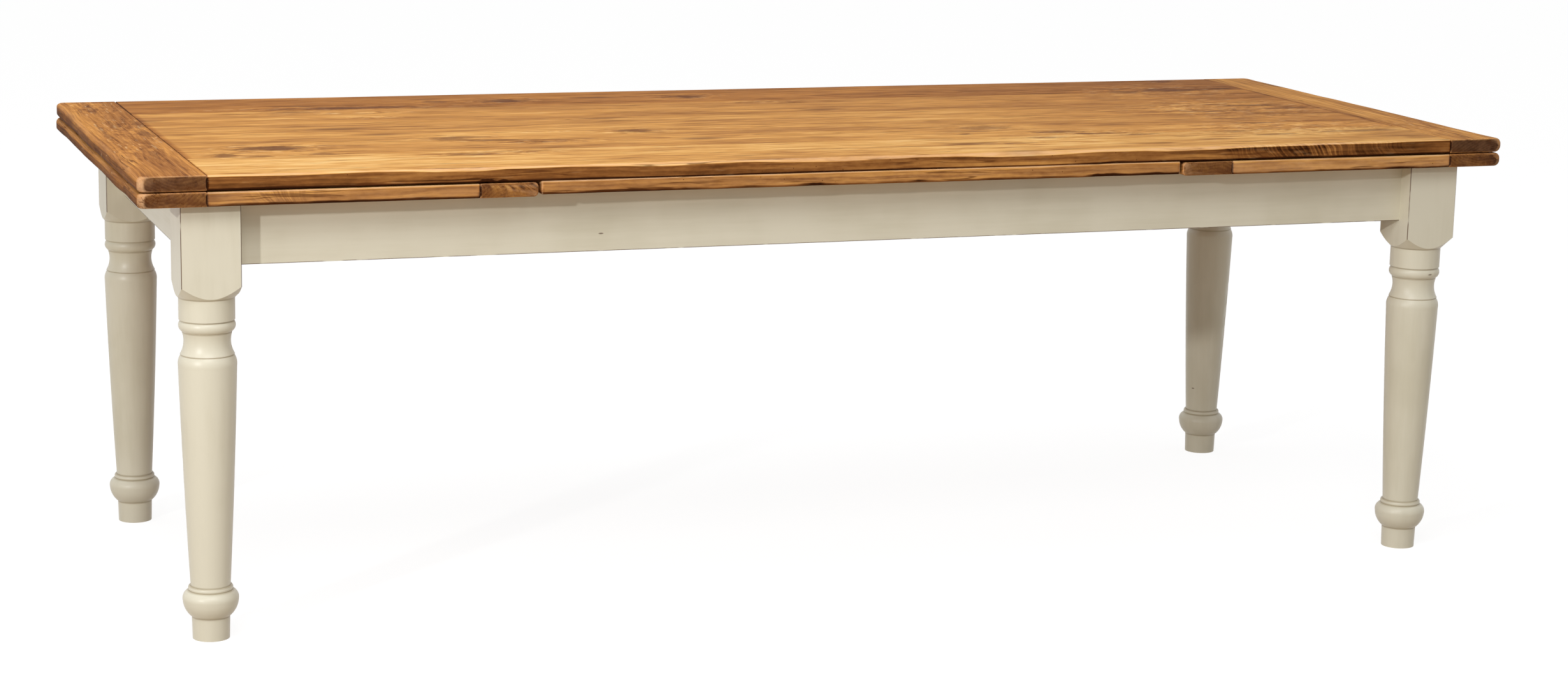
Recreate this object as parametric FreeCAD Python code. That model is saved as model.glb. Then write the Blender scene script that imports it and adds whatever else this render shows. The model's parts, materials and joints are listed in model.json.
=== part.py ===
import FreeCAD, Part
import os

# Extending table with a loose top, a fixed centre board and two draw leaves.
# Millimetres. X runs along the table, Y from front to back, Z up.
# The origin is on the floor, under the middle of the table.

# Overall sizes
table_length = 2500.0
table_width = 980.0
table_height = 785.0

# Boards: the loose top lies on the centre board, the leaves lie one layer lower
plank_count = 5
top_thickness = 25.0
leaf_thickness = 24.0
centre_thickness = 23.0
leaf_length = 658.0
end_board_width = 112.0
leaf_batten_width = 99.0
leaf_to_top_gap = 2.0
leaf_to_centre_gap = 5.0
slide_clearance = 0.3

# Edges of the boards
worn_bevel = 6.0
lower_arris = 3.0
end_rounding = 9.0
end_corner_radius = 12.0
batten_rounding = 7.0
centre_arris = 3.0
joint_bevel = 1.5

# Tongues and grooves between planks and end boards
tongue_length = 16.0
tongue_thickness = 8.0
tongue_stop = 45.0
tongue_clearance = 0.3

# Leg block and where it stands
block_size = 98.0
block_height = 136.0
block_end_inset = 74.0
block_front_inset = 34.0
block_arris = 1.2
inner_corner_flat = 20.0

# Turned leg, from the floor up
foot_height = 38.0
foot_bottom_diameter = 61.0
foot_top_diameter = 63.0
ball_height = 45.0
ball_diameter = 92.0
ball_middle_share = 0.62
ball_lower_shares = (0.74, 0.30)
ball_upper_shares = (0.80, 0.86)
ring_height = 7.5
ring_diameter = 72.0
ring_swell = 1.0
shaft_bottom_diameter = 65.5
shaft_top_diameter = 95.5
shaft_belly = 1.1

# Turned leg, from the block down
collar_diameter = 91.5
collar_height = 36.0
groove_depth = 2.2
groove_height = 2.2
bead_height = 17.0
bead_diameter = 92.8
bead_foot_diameter = 83.0
cove_lip = 2.5
cove_top_diameter = 81.0
cove_waist_diameter = 76.6
cove_height = 36.0
cove_waist_share = 0.60
rim_diameter = 88.6
rim_step = 1.0
shoulder_height = 19.0
shoulder_bow_share = 0.72

# Aprons
apron_thickness = 25.0
apron_height = 106.0
apron_setback = 32.0

# Corner braces, and the bolts that pull the legs into the corners
brace_thickness = 28.0
brace_height = 80.0
brace_to_leg_gap = 8.0
bolt_diameter = 8.0
bolt_depth_in_leg = 45.0
bolt_end_past_nut = 5.0
washer_diameter = 24.0
washer_thickness = 2.0
nut_sides = 6
nut_across_flats = 13.0
nut_height = 6.5
metal_clearance = 0.1
brace_screw_diameter = 4.5
brace_screw_in_brace = 15.0
brace_screw_in_apron = 19.0
brace_screw_spacing = 44.0

# Wood screws
screw_diameter = 5.0
screw_head_diameter = 9.5
screw_head_height = 3.0
screw_counterbore = 12.0

# Cross bearers under the centre board
bearer_thickness = 28.0
bearer_depth = 105.0
bearer_housing = 8.0
bearer_end_inset = 47.0
bearer_screw_inset = 49.0
bearer_screw_in_bearer = 20.0
bearer_screw_in_board = 15.0

# Runners: a bar under the leaf, then a ramp down to a lower tail
runner_width = 30.0
runner_bar_depth = 50.0
runner_tail_depth = 52.0
runner_inset = 144.0
runner_pair_gap = 15.0
ramp_length = 58.0
leaf_rise_allowance = 2.0
tail_under_centre = 110.0
travel_clearance = 2.0
notch_side_clearance = 1.5
notch_floor_clearance = 1.0
runner_screw_end_inset = 54.0
runner_screw_inner_inset = 49.0
runner_screw_in_runner = 25.0
runner_screw_in_leaf = 17.0

# Stop pegs near the runner ends
stop_diameter = 12.0
stop_depth = 18.0
stop_projection = 12.0
stop_clearance = 2.0
wood_fit = 0.1

# Guide pegs of the loose top
guide_peg_diameter = 30.0
guide_peg_to_bearer = 190.0
guide_peg_depth = 15.0
guide_peg_clearance = 0.5
top_lift = 30.0
lift_clearance = 2.0
retainer_diameter = 58.0
retainer_thickness = 10.0
retainer_screw_in_peg = 30.0

# One overrun for every cut
overrun = 5.0

# Places worked out from the sizes
half_length = table_length / 2
half_width = table_width / 2
top_bottom = table_height - top_thickness
leaf_top = top_bottom - leaf_to_top_gap
leaf_bottom = leaf_top - leaf_thickness
frame_top = leaf_bottom - slide_clearance
centre_bottom = top_bottom - centre_thickness
centre_half = half_length - leaf_length - leaf_to_centre_gap
leaf_inner_x = half_length - leaf_length
plank_width = table_width / plank_count
block_outer_x = half_length - block_end_inset
block_outer_y = half_width - block_front_inset
leg_x = block_outer_x - block_size / 2
leg_y = block_outer_y - block_size / 2
block_inner_x = block_outer_x - block_size
block_inner_y = block_outer_y - block_size
apron_bottom = frame_top - apron_height
apron_outer_x = block_outer_x - apron_setback
apron_outer_y = block_outer_y - apron_setback
apron_inner_x = apron_outer_x - apron_thickness
apron_inner_y = apron_outer_y - apron_thickness
left_runner_y = apron_inner_y - runner_inset
right_runner_y = left_runner_y - runner_width - runner_pair_gap
bar_bottom = leaf_bottom - runner_bar_depth
leaf_rise = table_height - leaf_top
tail_top = centre_bottom - leaf_rise - leaf_rise_allowance
tail_bottom = tail_top - runner_tail_depth
bearer_x = centre_half - bearer_end_inset
bearer_screw_y = apron_inner_y - bearer_screw_inset
bearer_bottom = centre_bottom - bearer_depth
guide_peg_x = bearer_x - guide_peg_to_bearer
draw_out = leaf_length - ramp_length
runner_inner_x = centre_half - tail_under_centre - leaf_length
stop_x = bearer_x - bearer_thickness / 2 - stop_clearance - stop_diameter / 2 - leaf_length

x_axis = FreeCAD.Vector(1, 0, 0)
y_axis = FreeCAD.Vector(0, 1, 0)
z_axis = FreeCAD.Vector(0, 0, 1)


# Helpers

def point(x, y, z):
    return FreeCAD.Vector(x, y, z)


def block(x_low, x_high, y_low, y_high, z_low, z_high):
    return Part.makeBox(x_high - x_low, y_high - y_low, z_high - z_low, point(x_low, y_low, z_low))


def rod(diameter, start, direction, length):
    return Part.makeCylinder(diameter / 2, length, start, direction)


def prism(outline, along):
    face = Part.Face(Part.makePolygon(outline + outline[:1]))
    return face.extrude(along)


def middle_of(edge):
    return edge.valueAt((edge.FirstParameter + edge.LastParameter) / 2)


def edges_where(shape, wanted):
    return [edge for edge in shape.Edges if wanted(middle_of(edge))]


def near(a, b):
    return abs(a - b) < slide_clearance


def mirrored(shape, across):
    return shape.mirror(point(0, 0, 0), across)


def on_side(shape, side):
    if side == "left":
        return shape
    return mirrored(shape, x_axis)


def cut_all(shape, tools):
    for tool in tools:
        if shape.BoundBox.intersect(tool.BoundBox):
            shape = shape.cut(tool)
    return shape


def save(name, solids):
    if len(solids) == 1:
        shape = solids[0]
    else:
        shape = Part.makeCompound(solids)
    shape.exportStep("parts/" + name + ".step")
    print(name, len(shape.Solids), "solids", round(shape.Volume / 1000), "cm3", shape.isValid())


# Fasteners

def wood_screw(head_face, direction, length, diameter):
    head_radius = diameter * screw_head_diameter / screw_diameter / 2
    head_length = diameter * screw_head_height / screw_diameter
    head = Part.makeCone(head_radius, diameter / 2, head_length, head_face, direction)
    shank = rod(diameter, head_face, direction, length)
    return head.fuse(shank).removeSplitter()


def screw_hole(head_face, direction, length, diameter):
    head_radius = diameter * screw_head_diameter / screw_diameter / 2 + metal_clearance
    head_length = diameter * screw_head_height / screw_diameter + metal_clearance
    seat = Part.makeCone(head_radius, diameter / 2 + metal_clearance, head_length, head_face, direction)
    shank = rod(diameter + 2 * metal_clearance, head_face, direction, length + metal_clearance)
    pocket_diameter = diameter * screw_counterbore / screw_diameter
    pocket = rod(pocket_diameter, head_face, direction * -1, bearer_depth)
    return seat.fuse(shank).fuse(pocket)


# Legs: a turning cut square at the top

def leg_outline():
    foot_bottom = point(foot_bottom_diameter / 2, 0, 0)
    foot_top = point(foot_top_diameter / 2, 0, foot_height)
    ball_radius = ball_diameter / 2
    ring_radius = ring_diameter / 2
    ball_middle_z = foot_height + ball_height * ball_middle_share
    ball_middle = point(ball_radius, 0, ball_middle_z)
    ball_top = point(ring_radius, 0, foot_height + ball_height)
    lower_x = foot_top.x + (ball_radius - foot_top.x) * ball_lower_shares[0]
    lower = point(lower_x, 0, foot_height + ball_height * ball_lower_shares[1])
    upper_x = ring_radius + (ball_radius - ring_radius) * ball_upper_shares[0]
    upper = point(upper_x, 0, foot_height + ball_height * ball_upper_shares[1])
    ring_top = point(ring_radius - ring_swell, 0, ball_top.z + ring_height)
    ring_middle = point(ring_radius + ring_swell, 0, ball_top.z + ring_height / 2)

    collar_radius = collar_diameter / 2
    corner_radius = block_size / 2 * 2 ** 0.5
    collar_top_z = frame_top - block_height - (corner_radius - collar_radius)
    collar_top = point(collar_radius, 0, collar_top_z)
    collar_bottom = point(collar_radius, 0, collar_top_z - collar_height)
    groove_top = point(collar_radius - groove_depth, 0, collar_bottom.z)
    groove_bottom = point(groove_top.x, 0, groove_top.z - groove_height)
    bead_middle = point(bead_diameter / 2, 0, groove_bottom.z - bead_height / 2)
    bead_foot = point(bead_foot_diameter / 2, 0, groove_bottom.z - bead_height)
    cove_lip_top = point(cove_top_diameter / 2, 0, bead_foot.z)
    cove_top = point(cove_top_diameter / 2, 0, bead_foot.z - cove_lip)
    cove_waist = point(cove_waist_diameter / 2, 0, cove_top.z - cove_height * (1 - cove_waist_share))
    cove_foot = point(rim_diameter / 2, 0, cove_top.z - cove_height)
    rim = point(rim_diameter / 2 - rim_step, 0, cove_foot.z - rim_step)
    shaft_top = point(shaft_top_diameter / 2, 0, rim.z - shoulder_height)
    shoulder_x = rim.x + (shaft_top.x - rim.x) * shoulder_bow_share
    shoulder = point(shoulder_x, 0, rim.z - shoulder_height / 3)
    shaft_bottom = point(shaft_bottom_diameter / 2, 0, ring_top.z)
    belly = (shaft_top + shaft_bottom) * 0.5 + x_axis * shaft_belly
    crown_radius = corner_radius + overrun
    cone_top = point(crown_radius, 0, collar_top_z + crown_radius - collar_radius)
    crown = point(crown_radius, 0, frame_top)
    return [
        ("line", point(0, 0, 0), foot_bottom),
        ("line", foot_bottom, foot_top),
        ("arc", foot_top, lower, ball_middle),
        ("arc", ball_middle, upper, ball_top),
        ("arc", ball_top, ring_middle, ring_top),
        ("line", ring_top, shaft_bottom),
        ("arc", shaft_bottom, belly, shaft_top),
        ("arc", shaft_top, shoulder, rim),
        ("line", rim, cove_foot),
        ("arc", cove_foot, cove_waist, cove_top),
        ("line", cove_top, cove_lip_top),
        ("line", cove_lip_top, bead_foot),
        ("arc", bead_foot, bead_middle, groove_bottom),
        ("line", groove_bottom, groove_top),
        ("line", groove_top, collar_bottom),
        ("line", collar_bottom, collar_top),
        ("line", collar_top, cone_top),
        ("line", cone_top, crown),
        ("line", crown, point(0, 0, frame_top)),
        ("line", point(0, 0, frame_top), point(0, 0, 0)),
    ]


def turned_leg():
    edges = []
    for step in leg_outline():
        if step[0] == "line":
            edges.append(Part.makeLine(step[1], step[2]))
        else:
            edges.append(Part.Arc(step[1], step[2], step[3]).toShape())
    turning = Part.Face(Part.Wire(edges)).revolve(point(0, 0, 0), z_axis, 360)
    half = block_size / 2
    square = block(-half, half, -half, half, 0, frame_top)
    uprights = edges_where(square, lambda m: near(m.z, frame_top / 2))
    square = square.makeChamfer(block_arris, uprights)
    return square.common(turning)


# The front left corner is drawn once and mirrored to the other three

inward = point(1, 1, 0).normalize()
flat_middle = point(
    -block_inner_x - inner_corner_flat / 2, -block_inner_y - inner_corner_flat / 2, frame_top - apron_height / 2
)
brace_face = flat_middle + inward * brace_to_leg_gap
nut_seat = brace_face + inward * (brace_thickness + washer_thickness)


def hanger_bolt():
    start = flat_middle - inward * bolt_depth_in_leg
    length = (nut_seat - start).Length + nut_height + bolt_end_past_nut
    return rod(bolt_diameter, start, inward, length)


def bolt_hole():
    start = flat_middle - inward * (bolt_depth_in_leg + metal_clearance)
    length = (nut_seat - start).Length
    return rod(bolt_diameter + 2 * metal_clearance, start, inward, length)


def bolt_washer():
    start = nut_seat - inward * washer_thickness
    return rod(washer_diameter, start, inward, washer_thickness).cut(bolt_hole_through())


def bolt_nut():
    turn = FreeCAD.Rotation(z_axis, 360 / nut_sides)
    hexagon = [point(nut_across_flats / 3 ** 0.5, 0, 0)]
    for _ in range(nut_sides - 1):
        hexagon.append(turn.multVec(hexagon[-1]))
    nut = prism(hexagon, z_axis * nut_height)
    nut.Placement = FreeCAD.Placement(nut_seat, FreeCAD.Rotation(z_axis, inward))
    return nut.cut(bolt_hole_through())


def bolt_hole_through():
    return rod(
        bolt_diameter + 2 * metal_clearance,
        brace_face,
        inward,
        brace_thickness + washer_thickness + nut_height + overrun,
    )


def brace_outline():
    near_sum = brace_face.x + brace_face.y
    far_sum = near_sum + brace_thickness * 2 ** 0.5
    low = frame_top - apron_height / 2 - brace_height / 2
    return [
        point(-apron_inner_x, near_sum + apron_inner_x, low),
        point(near_sum + apron_inner_y, -apron_inner_y, low),
        point(far_sum + apron_inner_y, -apron_inner_y, low),
        point(-apron_inner_x, far_sum + apron_inner_x, low),
    ]


def brace_screw_places():
    outline = brace_outline()
    end_y = (outline[0].y + outline[3].y) / 2
    end_x = (outline[1].x + outline[2].x) / 2
    middle_z = frame_top - apron_height / 2
    places = []
    for up in (-1, 1):
        z = middle_z + up * brace_screw_spacing / 2
        places.append((point(-apron_inner_x + brace_screw_in_brace, end_y, z), x_axis * -1))
        places.append((point(end_x, -apron_inner_y + brace_screw_in_brace, z), y_axis * -1))
    return places


brace_screw_length = brace_screw_in_brace + brace_screw_in_apron


def corner_brace():
    shape = prism(brace_outline(), z_axis * brace_height)
    holes = [screw_hole(at, way, brace_screw_length, brace_screw_diameter) for at, way in brace_screw_places()]
    return cut_all(shape, holes + [bolt_hole()])


def corner_leg():
    leg = turned_leg()
    leg.translate(point(-leg_x, -leg_y, 0))
    corner = point(-block_inner_x, -block_inner_y, apron_bottom)
    flat = prism(
        [corner, corner - x_axis * inner_corner_flat, corner - y_axis * inner_corner_flat],
        z_axis * (apron_height + overrun),
    )
    return cut_all(leg, [flat, bolt_hole()])


corners = {
    "front_left": (),
    "front_right": (x_axis,),
    "back_left": (y_axis,),
    "back_right": (x_axis, y_axis),
}


def at_corner(shape, name):
    for across in corners[name]:
        shape = mirrored(shape, across)
    return shape


def at_every_corner(shapes):
    return [at_corner(shape, name) for name in corners for shape in shapes]


def save_corners():
    leg = corner_leg()
    brace = corner_brace()
    for name in corners:
        save("leg_" + name, [at_corner(leg, name)])
        save("corner_brace_" + name, [at_corner(brace, name)])
    screws = [wood_screw(at, way, brace_screw_length, brace_screw_diameter) for at, way in brace_screw_places()]
    save("brace_screws", at_every_corner(screws))
    save("hanger_bolts", at_every_corner([hanger_bolt()]))
    save("bolt_washers", at_every_corner([bolt_washer()]))
    save("bolt_nuts", at_every_corner([bolt_nut()]))


# Aprons between the leg blocks

def brace_screw_holes():
    holes = [screw_hole(at, way, brace_screw_length, brace_screw_diameter) for at, way in brace_screw_places()]
    return at_every_corner(holes)


def runner_places(side):
    y = left_runner_y if side == "left" else right_runner_y
    return {"front": -y, "back": y}


def runner_notch(y, x_low, x_high, floor_z):
    half = runner_width / 2 + notch_side_clearance
    return block(x_low, x_high, y - half, y + half, floor_z, top_bottom)


def peg_way(side, y):
    # The pegs of each leaf point away from the other leaf's runners, so the two never meet.
    outward = 1 if y > 0 else -1
    return outward if side == "left" else -outward


def other_leaf_passages(side):
    # On a short table the tails of the other leaf's runners reach this bearer, with their stop pegs.
    other = "right" if side == "left" else "left"
    passages = []
    for y in runner_places(other).values():
        way = peg_way(other, y)
        plain_y = y - way * (runner_width / 2 + notch_side_clearance)
        peg_y = y + way * (runner_width / 2 + stop_projection + travel_clearance)
        passages.append(block(
            runner_inner_x - travel_clearance, bearer_x, min(plain_y, peg_y), max(plain_y, peg_y),
            tail_bottom - notch_floor_clearance, top_bottom,
        ))
    return passages


def long_apron():
    shape = block(
        -block_inner_x, block_inner_x, -apron_outer_y, -apron_inner_y, apron_bottom, frame_top
    )
    housings = []
    for x in (-bearer_x, 0, bearer_x):
        half = bearer_thickness / 2 + wood_fit
        housings.append(block(
            x - half, x + half,
            -apron_inner_y - bearer_housing - wood_fit, -apron_inner_y + overrun,
            bearer_bottom - wood_fit, frame_top + overrun,
        ))
    return cut_all(shape, housings + brace_screw_holes())


def end_apron(side):
    shape = block(
        -apron_outer_x, -apron_inner_x, -block_inner_y, block_inner_y, apron_bottom, frame_top
    )
    notches = []
    for y in runner_places(side).values():
        notches.append(runner_notch(
            y, -apron_outer_x - overrun, -apron_inner_x + overrun, bar_bottom - slide_clearance
        ))
    return on_side(cut_all(shape, notches + brace_screw_holes()), side)


def save_aprons():
    front = long_apron()
    save("apron_front", [front])
    save("apron_back", [mirrored(front, y_axis)])
    save("apron_left", [end_apron("left")])
    save("apron_right", [end_apron("right")])


# Bearers under the centre board, notched where the runners pass

def bearer_screw_places():
    head_z = centre_bottom - bearer_screw_in_bearer
    return [
        point(x, y, head_z)
        for x in (-bearer_x, 0, bearer_x)
        for y in (-bearer_screw_y, 0, bearer_screw_y)
    ]


bearer_screw_length = bearer_screw_in_bearer + bearer_screw_in_board


def bearer_holes():
    return [screw_hole(at, z_axis, bearer_screw_length, screw_diameter) for at in bearer_screw_places()]


def plain_bearer(x):
    half_span = apron_inner_y + bearer_housing
    half = bearer_thickness / 2
    return block(x - half, x + half, -half_span, half_span, bearer_bottom, centre_bottom)


def end_bearer(side):
    shape = plain_bearer(-bearer_x)
    notches = []
    for y in runner_places(side).values():
        notches.append(runner_notch(
            y, -bearer_x - bearer_thickness, -bearer_x + bearer_thickness, tail_bottom - notch_floor_clearance
        ))
    return on_side(cut_all(shape, notches + other_leaf_passages(side) + bearer_holes()), side)


def middle_bearer():
    shape = plain_bearer(0)
    reach_out = left_runner_y + runner_width / 2 + stop_projection + overrun
    reach_in = right_runner_y - runner_width / 2 - stop_projection - overrun
    floor_z = tail_bottom - notch_floor_clearance
    notches = []
    for low, high in ((reach_in, reach_out), (-reach_out, -reach_in)):
        notches.append(block(
            -bearer_thickness, bearer_thickness, low, high, floor_z, centre_bottom + overrun
        ))
    return cut_all(shape, notches + bearer_holes())


def save_bearers():
    save("bearer_left", [end_bearer("left")])
    save("bearer_middle", [middle_bearer()])
    save("bearer_right", [end_bearer("right")])
    screws = [wood_screw(at, z_axis, bearer_screw_length, screw_diameter) for at in bearer_screw_places()]
    save("centre_board_screws", screws)


# Planks, end boards and battens, shared by the top, the centre board and the leaves

def plank(row, x_low, x_high, z_low, z_high, outer_bevel, under_bevel, tongue_ends):
    y_low = -half_width + row * plank_width
    y_high = y_low + plank_width
    shape = block(x_low, x_high, y_low, y_high, z_low, z_high)
    if tongue_ends:
        ends = edges_where(shape, lambda m: near(m.z, z_high) and (
            (near(m.x, x_low) and "left" in tongue_ends) or (near(m.x, x_high) and "right" in tongue_ends)))
        shape = shape.makeChamfer(joint_bevel, ends)
    if row in (0, plank_count - 1):
        outer_y = y_low if row == 0 else y_high
        upper = edges_where(shape, lambda m: near(m.y, outer_y) and near(m.z, z_high))
        shape = shape.makeChamfer(outer_bevel, upper)
        under = edges_where(shape, lambda m: near(m.y, outer_y) and near(m.z, z_low))
        shape = shape.makeChamfer(under_bevel, under)
    middle_z = (z_low + z_high) / 2
    tongue_low = max(y_low, -half_width + tongue_stop)
    tongue_high = min(y_high, half_width - tongue_stop)
    for end in tongue_ends:
        x_from = x_low - tongue_length if end == "left" else x_high
        shape = shape.fuse(block(
            x_from, x_from + tongue_length, tongue_low, tongue_high,
            middle_z - tongue_thickness / 2, middle_z + tongue_thickness / 2,
        ))
    return shape.removeSplitter()


def tongue_groove(joint_x, outward, z_low, z_high):
    middle_z = (z_low + z_high) / 2
    half = tongue_thickness / 2 + tongue_clearance
    depth = tongue_length + tongue_clearance
    x_far = joint_x + outward * depth
    x_near = joint_x - outward * overrun
    reach = half_width - tongue_stop + tongue_clearance
    return block(min(x_far, x_near), max(x_far, x_near), -reach, reach, middle_z - half, middle_z + half)


def left_end_board(z_low, z_high):
    outer_x = -half_length
    inner_x = outer_x + end_board_width
    shape = block(outer_x, inner_x, -half_width, half_width, z_low, z_high)
    uprights = edges_where(shape, lambda m: near(m.x, outer_x) and near(m.z, (z_low + z_high) / 2))
    shape = shape.makeFillet(end_corner_radius, uprights)
    rim = edges_where(shape, lambda m: m.x < inner_x - overrun and (near(m.z, z_low) or near(m.z, z_high)))
    shape = shape.makeFillet(end_rounding, rim)
    joint = edges_where(shape, lambda m: near(m.x, inner_x) and near(m.z, z_high))
    shape = shape.makeChamfer(joint_bevel, joint)
    return shape.cut(tongue_groove(inner_x, -1, z_low, z_high))


def left_leaf_batten():
    inner_x = -leaf_inner_x
    outer_x = inner_x - leaf_batten_width
    shape = block(outer_x, inner_x, -half_width, half_width, leaf_bottom, leaf_top)
    rounded = edges_where(shape, lambda m: near(m.x, inner_x) and abs(m.y) < half_width - overrun)
    shape = shape.makeFillet(batten_rounding, rounded)
    joint = edges_where(shape, lambda m: near(m.x, outer_x) and near(m.z, leaf_top))
    shape = shape.makeChamfer(joint_bevel, joint)
    return shape.cut(tongue_groove(outer_x, 1, leaf_bottom, leaf_top))


# Guide pegs: fixed in the top, free in the centre board

def guide_peg(x):
    low = centre_bottom - top_lift - lift_clearance
    return rod(guide_peg_diameter, point(x, 0, low), z_axis, top_bottom + guide_peg_depth - low)


def guide_hole(x, clearance):
    low = centre_bottom - overrun
    high = top_bottom + guide_peg_depth + clearance
    return rod(guide_peg_diameter + 2 * clearance, point(x, 0, low), z_axis, high - low)


def retainer_low():
    return centre_bottom - top_lift - lift_clearance - retainer_thickness


def retainer(x):
    return rod(retainer_diameter, point(x, 0, retainer_low()), z_axis, retainer_thickness)


def retainer_screw_at(x):
    return point(x, 0, retainer_low())


retainer_screw_length = retainer_thickness + retainer_screw_in_peg


def save_top():
    panel_half = half_length - end_board_width
    pegs_x = (-guide_peg_x, guide_peg_x)
    sockets = [guide_hole(x, wood_fit) for x in pegs_x]
    for row in range(plank_count):
        shape = plank(
            row, -panel_half, panel_half, top_bottom, table_height, worn_bevel, lower_arris, ("left", "right")
        )
        save("top_plank_" + str(row + 1), [cut_all(shape, sockets)])
    board = left_end_board(top_bottom, table_height)
    save("top_end_board_left", [board])
    save("top_end_board_right", [on_side(board, "right")])
    screw_holes = [
        screw_hole(retainer_screw_at(x), z_axis, retainer_screw_length, screw_diameter) for x in pegs_x
    ]
    for name, x in zip(("left", "right"), pegs_x):
        save("guide_peg_" + name, [cut_all(guide_peg(x), screw_holes)])
    save("peg_retainers", [cut_all(retainer(x), screw_holes) for x in pegs_x])
    save("retainer_screws", [
        wood_screw(retainer_screw_at(x), z_axis, retainer_screw_length, screw_diameter) for x in pegs_x
    ])


def save_centre_board():
    pegs = [guide_hole(x, guide_peg_clearance) for x in (-guide_peg_x, guide_peg_x)]
    for row in range(plank_count):
        shape = plank(row, -centre_half, centre_half, centre_bottom, top_bottom, centre_arris, lower_arris, ())
        save("centre_plank_" + str(row + 1), [cut_all(shape, pegs + bearer_holes())])


# Leaves on their runners, drawn for the left end

def runner_outline(y):
    outer_x = -apron_outer_x
    ramp_x = -apron_inner_x + draw_out
    leaf_edge_x = -leaf_inner_x
    inner_x = -runner_inner_x
    return [
        point(outer_x, y, leaf_bottom),
        point(leaf_edge_x, y, leaf_bottom),
        point(ramp_x, y, tail_top),
        point(inner_x, y, tail_top),
        point(inner_x, y, tail_bottom),
        point(ramp_x + ramp_length, y, tail_bottom),
        point(ramp_x, y, bar_bottom),
        point(outer_x, y, bar_bottom),
    ]


def runner_screw_places(side):
    head_z = leaf_bottom - runner_screw_in_runner
    first_x = -apron_outer_x + runner_screw_end_inset
    last_x = -leaf_inner_x - runner_screw_inner_inset
    places = []
    for y in runner_places(side).values():
        for x in (first_x, (first_x + last_x) / 2, last_x):
            places.append(point(x, y, head_z))
    return places


runner_screw_length = runner_screw_in_runner + runner_screw_in_leaf


def runner_holes(side):
    return [
        screw_hole(at, z_axis, runner_screw_length, screw_diameter) for at in runner_screw_places(side)
    ]


def stop_peg(side, y, clearance):
    way = peg_way(side, y)
    face_y = y + way * runner_width / 2
    start = point(-stop_x, face_y - way * (stop_depth + clearance), (tail_top + tail_bottom) / 2)
    length = stop_depth + clearance + stop_projection
    return rod(stop_diameter + 2 * clearance, start, y_axis * way, length)


def runner(side, y):
    outline = runner_outline(y - runner_width / 2)
    shape = prism(outline, y_axis * runner_width)
    return cut_all(shape, runner_holes(side) + [stop_peg(side, y, wood_fit)])


def save_leaf(side):
    prefix = side + "_leaf_"
    holes = runner_holes(side)
    outer_x = -half_length + end_board_width
    inner_x = -leaf_inner_x - leaf_batten_width
    for row in range(plank_count):
        shape = plank(row, outer_x, inner_x, leaf_bottom, leaf_top, lower_arris, lower_arris, ("left", "right"))
        save(prefix + "plank_" + str(row + 1), [on_side(cut_all(shape, holes), side)])
    save(prefix + "end_board", [on_side(left_end_board(leaf_bottom, leaf_top), side)])
    save(prefix + "inner_batten", [on_side(cut_all(left_leaf_batten(), holes), side)])
    for name, y in runner_places(side).items():
        save(prefix + "runner_" + name, [on_side(runner(side, y), side)])
    screws = [
        wood_screw(at, z_axis, runner_screw_length, screw_diameter) for at in runner_screw_places(side)
    ]
    save(prefix + "runner_screws", [on_side(screw, side) for screw in screws])
    stops = [on_side(stop_peg(side, y, 0), side) for y in runner_places(side).values()]
    save(prefix + "runner_stops", stops)


# Everything, sub-part by sub-part

os.makedirs("parts", exist_ok=True)
save_corners()
save_aprons()
save_bearers()
save_centre_board()
save_top()
save_leaf("left")
save_leaf("right")
print("leaf travel before the ramp meets the apron", draw_out - travel_clearance)
print("left runner ends at", -runner_inner_x, "stop at", -stop_x, "tail from", tail_bottom, "to", tail_top)
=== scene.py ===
# %% [markdown]
# # An extending table in worn pine and cream paint
# The table is already built to size: every board, leg, runner and screw is in the frame that this script
# loads. The lesson gives it its looks. Pieces whose shape is right only get a finish, and the boards of the
# top, whose edges are worn and wavy on the real table, get a finer mesh in the same place.

# %% Load the frame
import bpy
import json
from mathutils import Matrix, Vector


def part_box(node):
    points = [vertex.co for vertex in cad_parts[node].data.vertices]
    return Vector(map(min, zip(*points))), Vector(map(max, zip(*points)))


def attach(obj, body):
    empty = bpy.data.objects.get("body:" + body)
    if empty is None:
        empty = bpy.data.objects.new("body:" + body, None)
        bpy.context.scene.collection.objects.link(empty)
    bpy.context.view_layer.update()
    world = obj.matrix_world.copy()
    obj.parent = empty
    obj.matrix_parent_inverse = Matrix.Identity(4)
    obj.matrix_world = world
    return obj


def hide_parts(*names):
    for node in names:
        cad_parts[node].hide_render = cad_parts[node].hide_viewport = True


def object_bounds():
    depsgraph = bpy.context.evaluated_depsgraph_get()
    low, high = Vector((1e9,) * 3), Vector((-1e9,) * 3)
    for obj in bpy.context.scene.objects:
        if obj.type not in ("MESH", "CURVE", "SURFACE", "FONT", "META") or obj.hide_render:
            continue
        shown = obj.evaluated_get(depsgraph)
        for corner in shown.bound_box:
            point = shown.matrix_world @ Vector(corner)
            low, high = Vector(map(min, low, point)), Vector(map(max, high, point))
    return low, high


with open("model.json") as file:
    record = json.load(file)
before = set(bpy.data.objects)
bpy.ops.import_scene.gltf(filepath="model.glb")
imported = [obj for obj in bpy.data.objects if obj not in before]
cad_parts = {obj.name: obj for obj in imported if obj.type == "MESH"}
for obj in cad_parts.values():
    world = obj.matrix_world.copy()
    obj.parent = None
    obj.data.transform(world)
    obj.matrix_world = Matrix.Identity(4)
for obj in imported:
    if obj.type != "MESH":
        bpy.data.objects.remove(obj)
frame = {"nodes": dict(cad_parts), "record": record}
cad_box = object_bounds()

# %% Modules and units
import itertools
import json
from math import cos, pi, sin, sqrt

import bmesh
import bpy
from mathutils import Matrix, Vector, noise

mm = 0.001
print("one millimetre is", mm, "of Blender's units")

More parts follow.
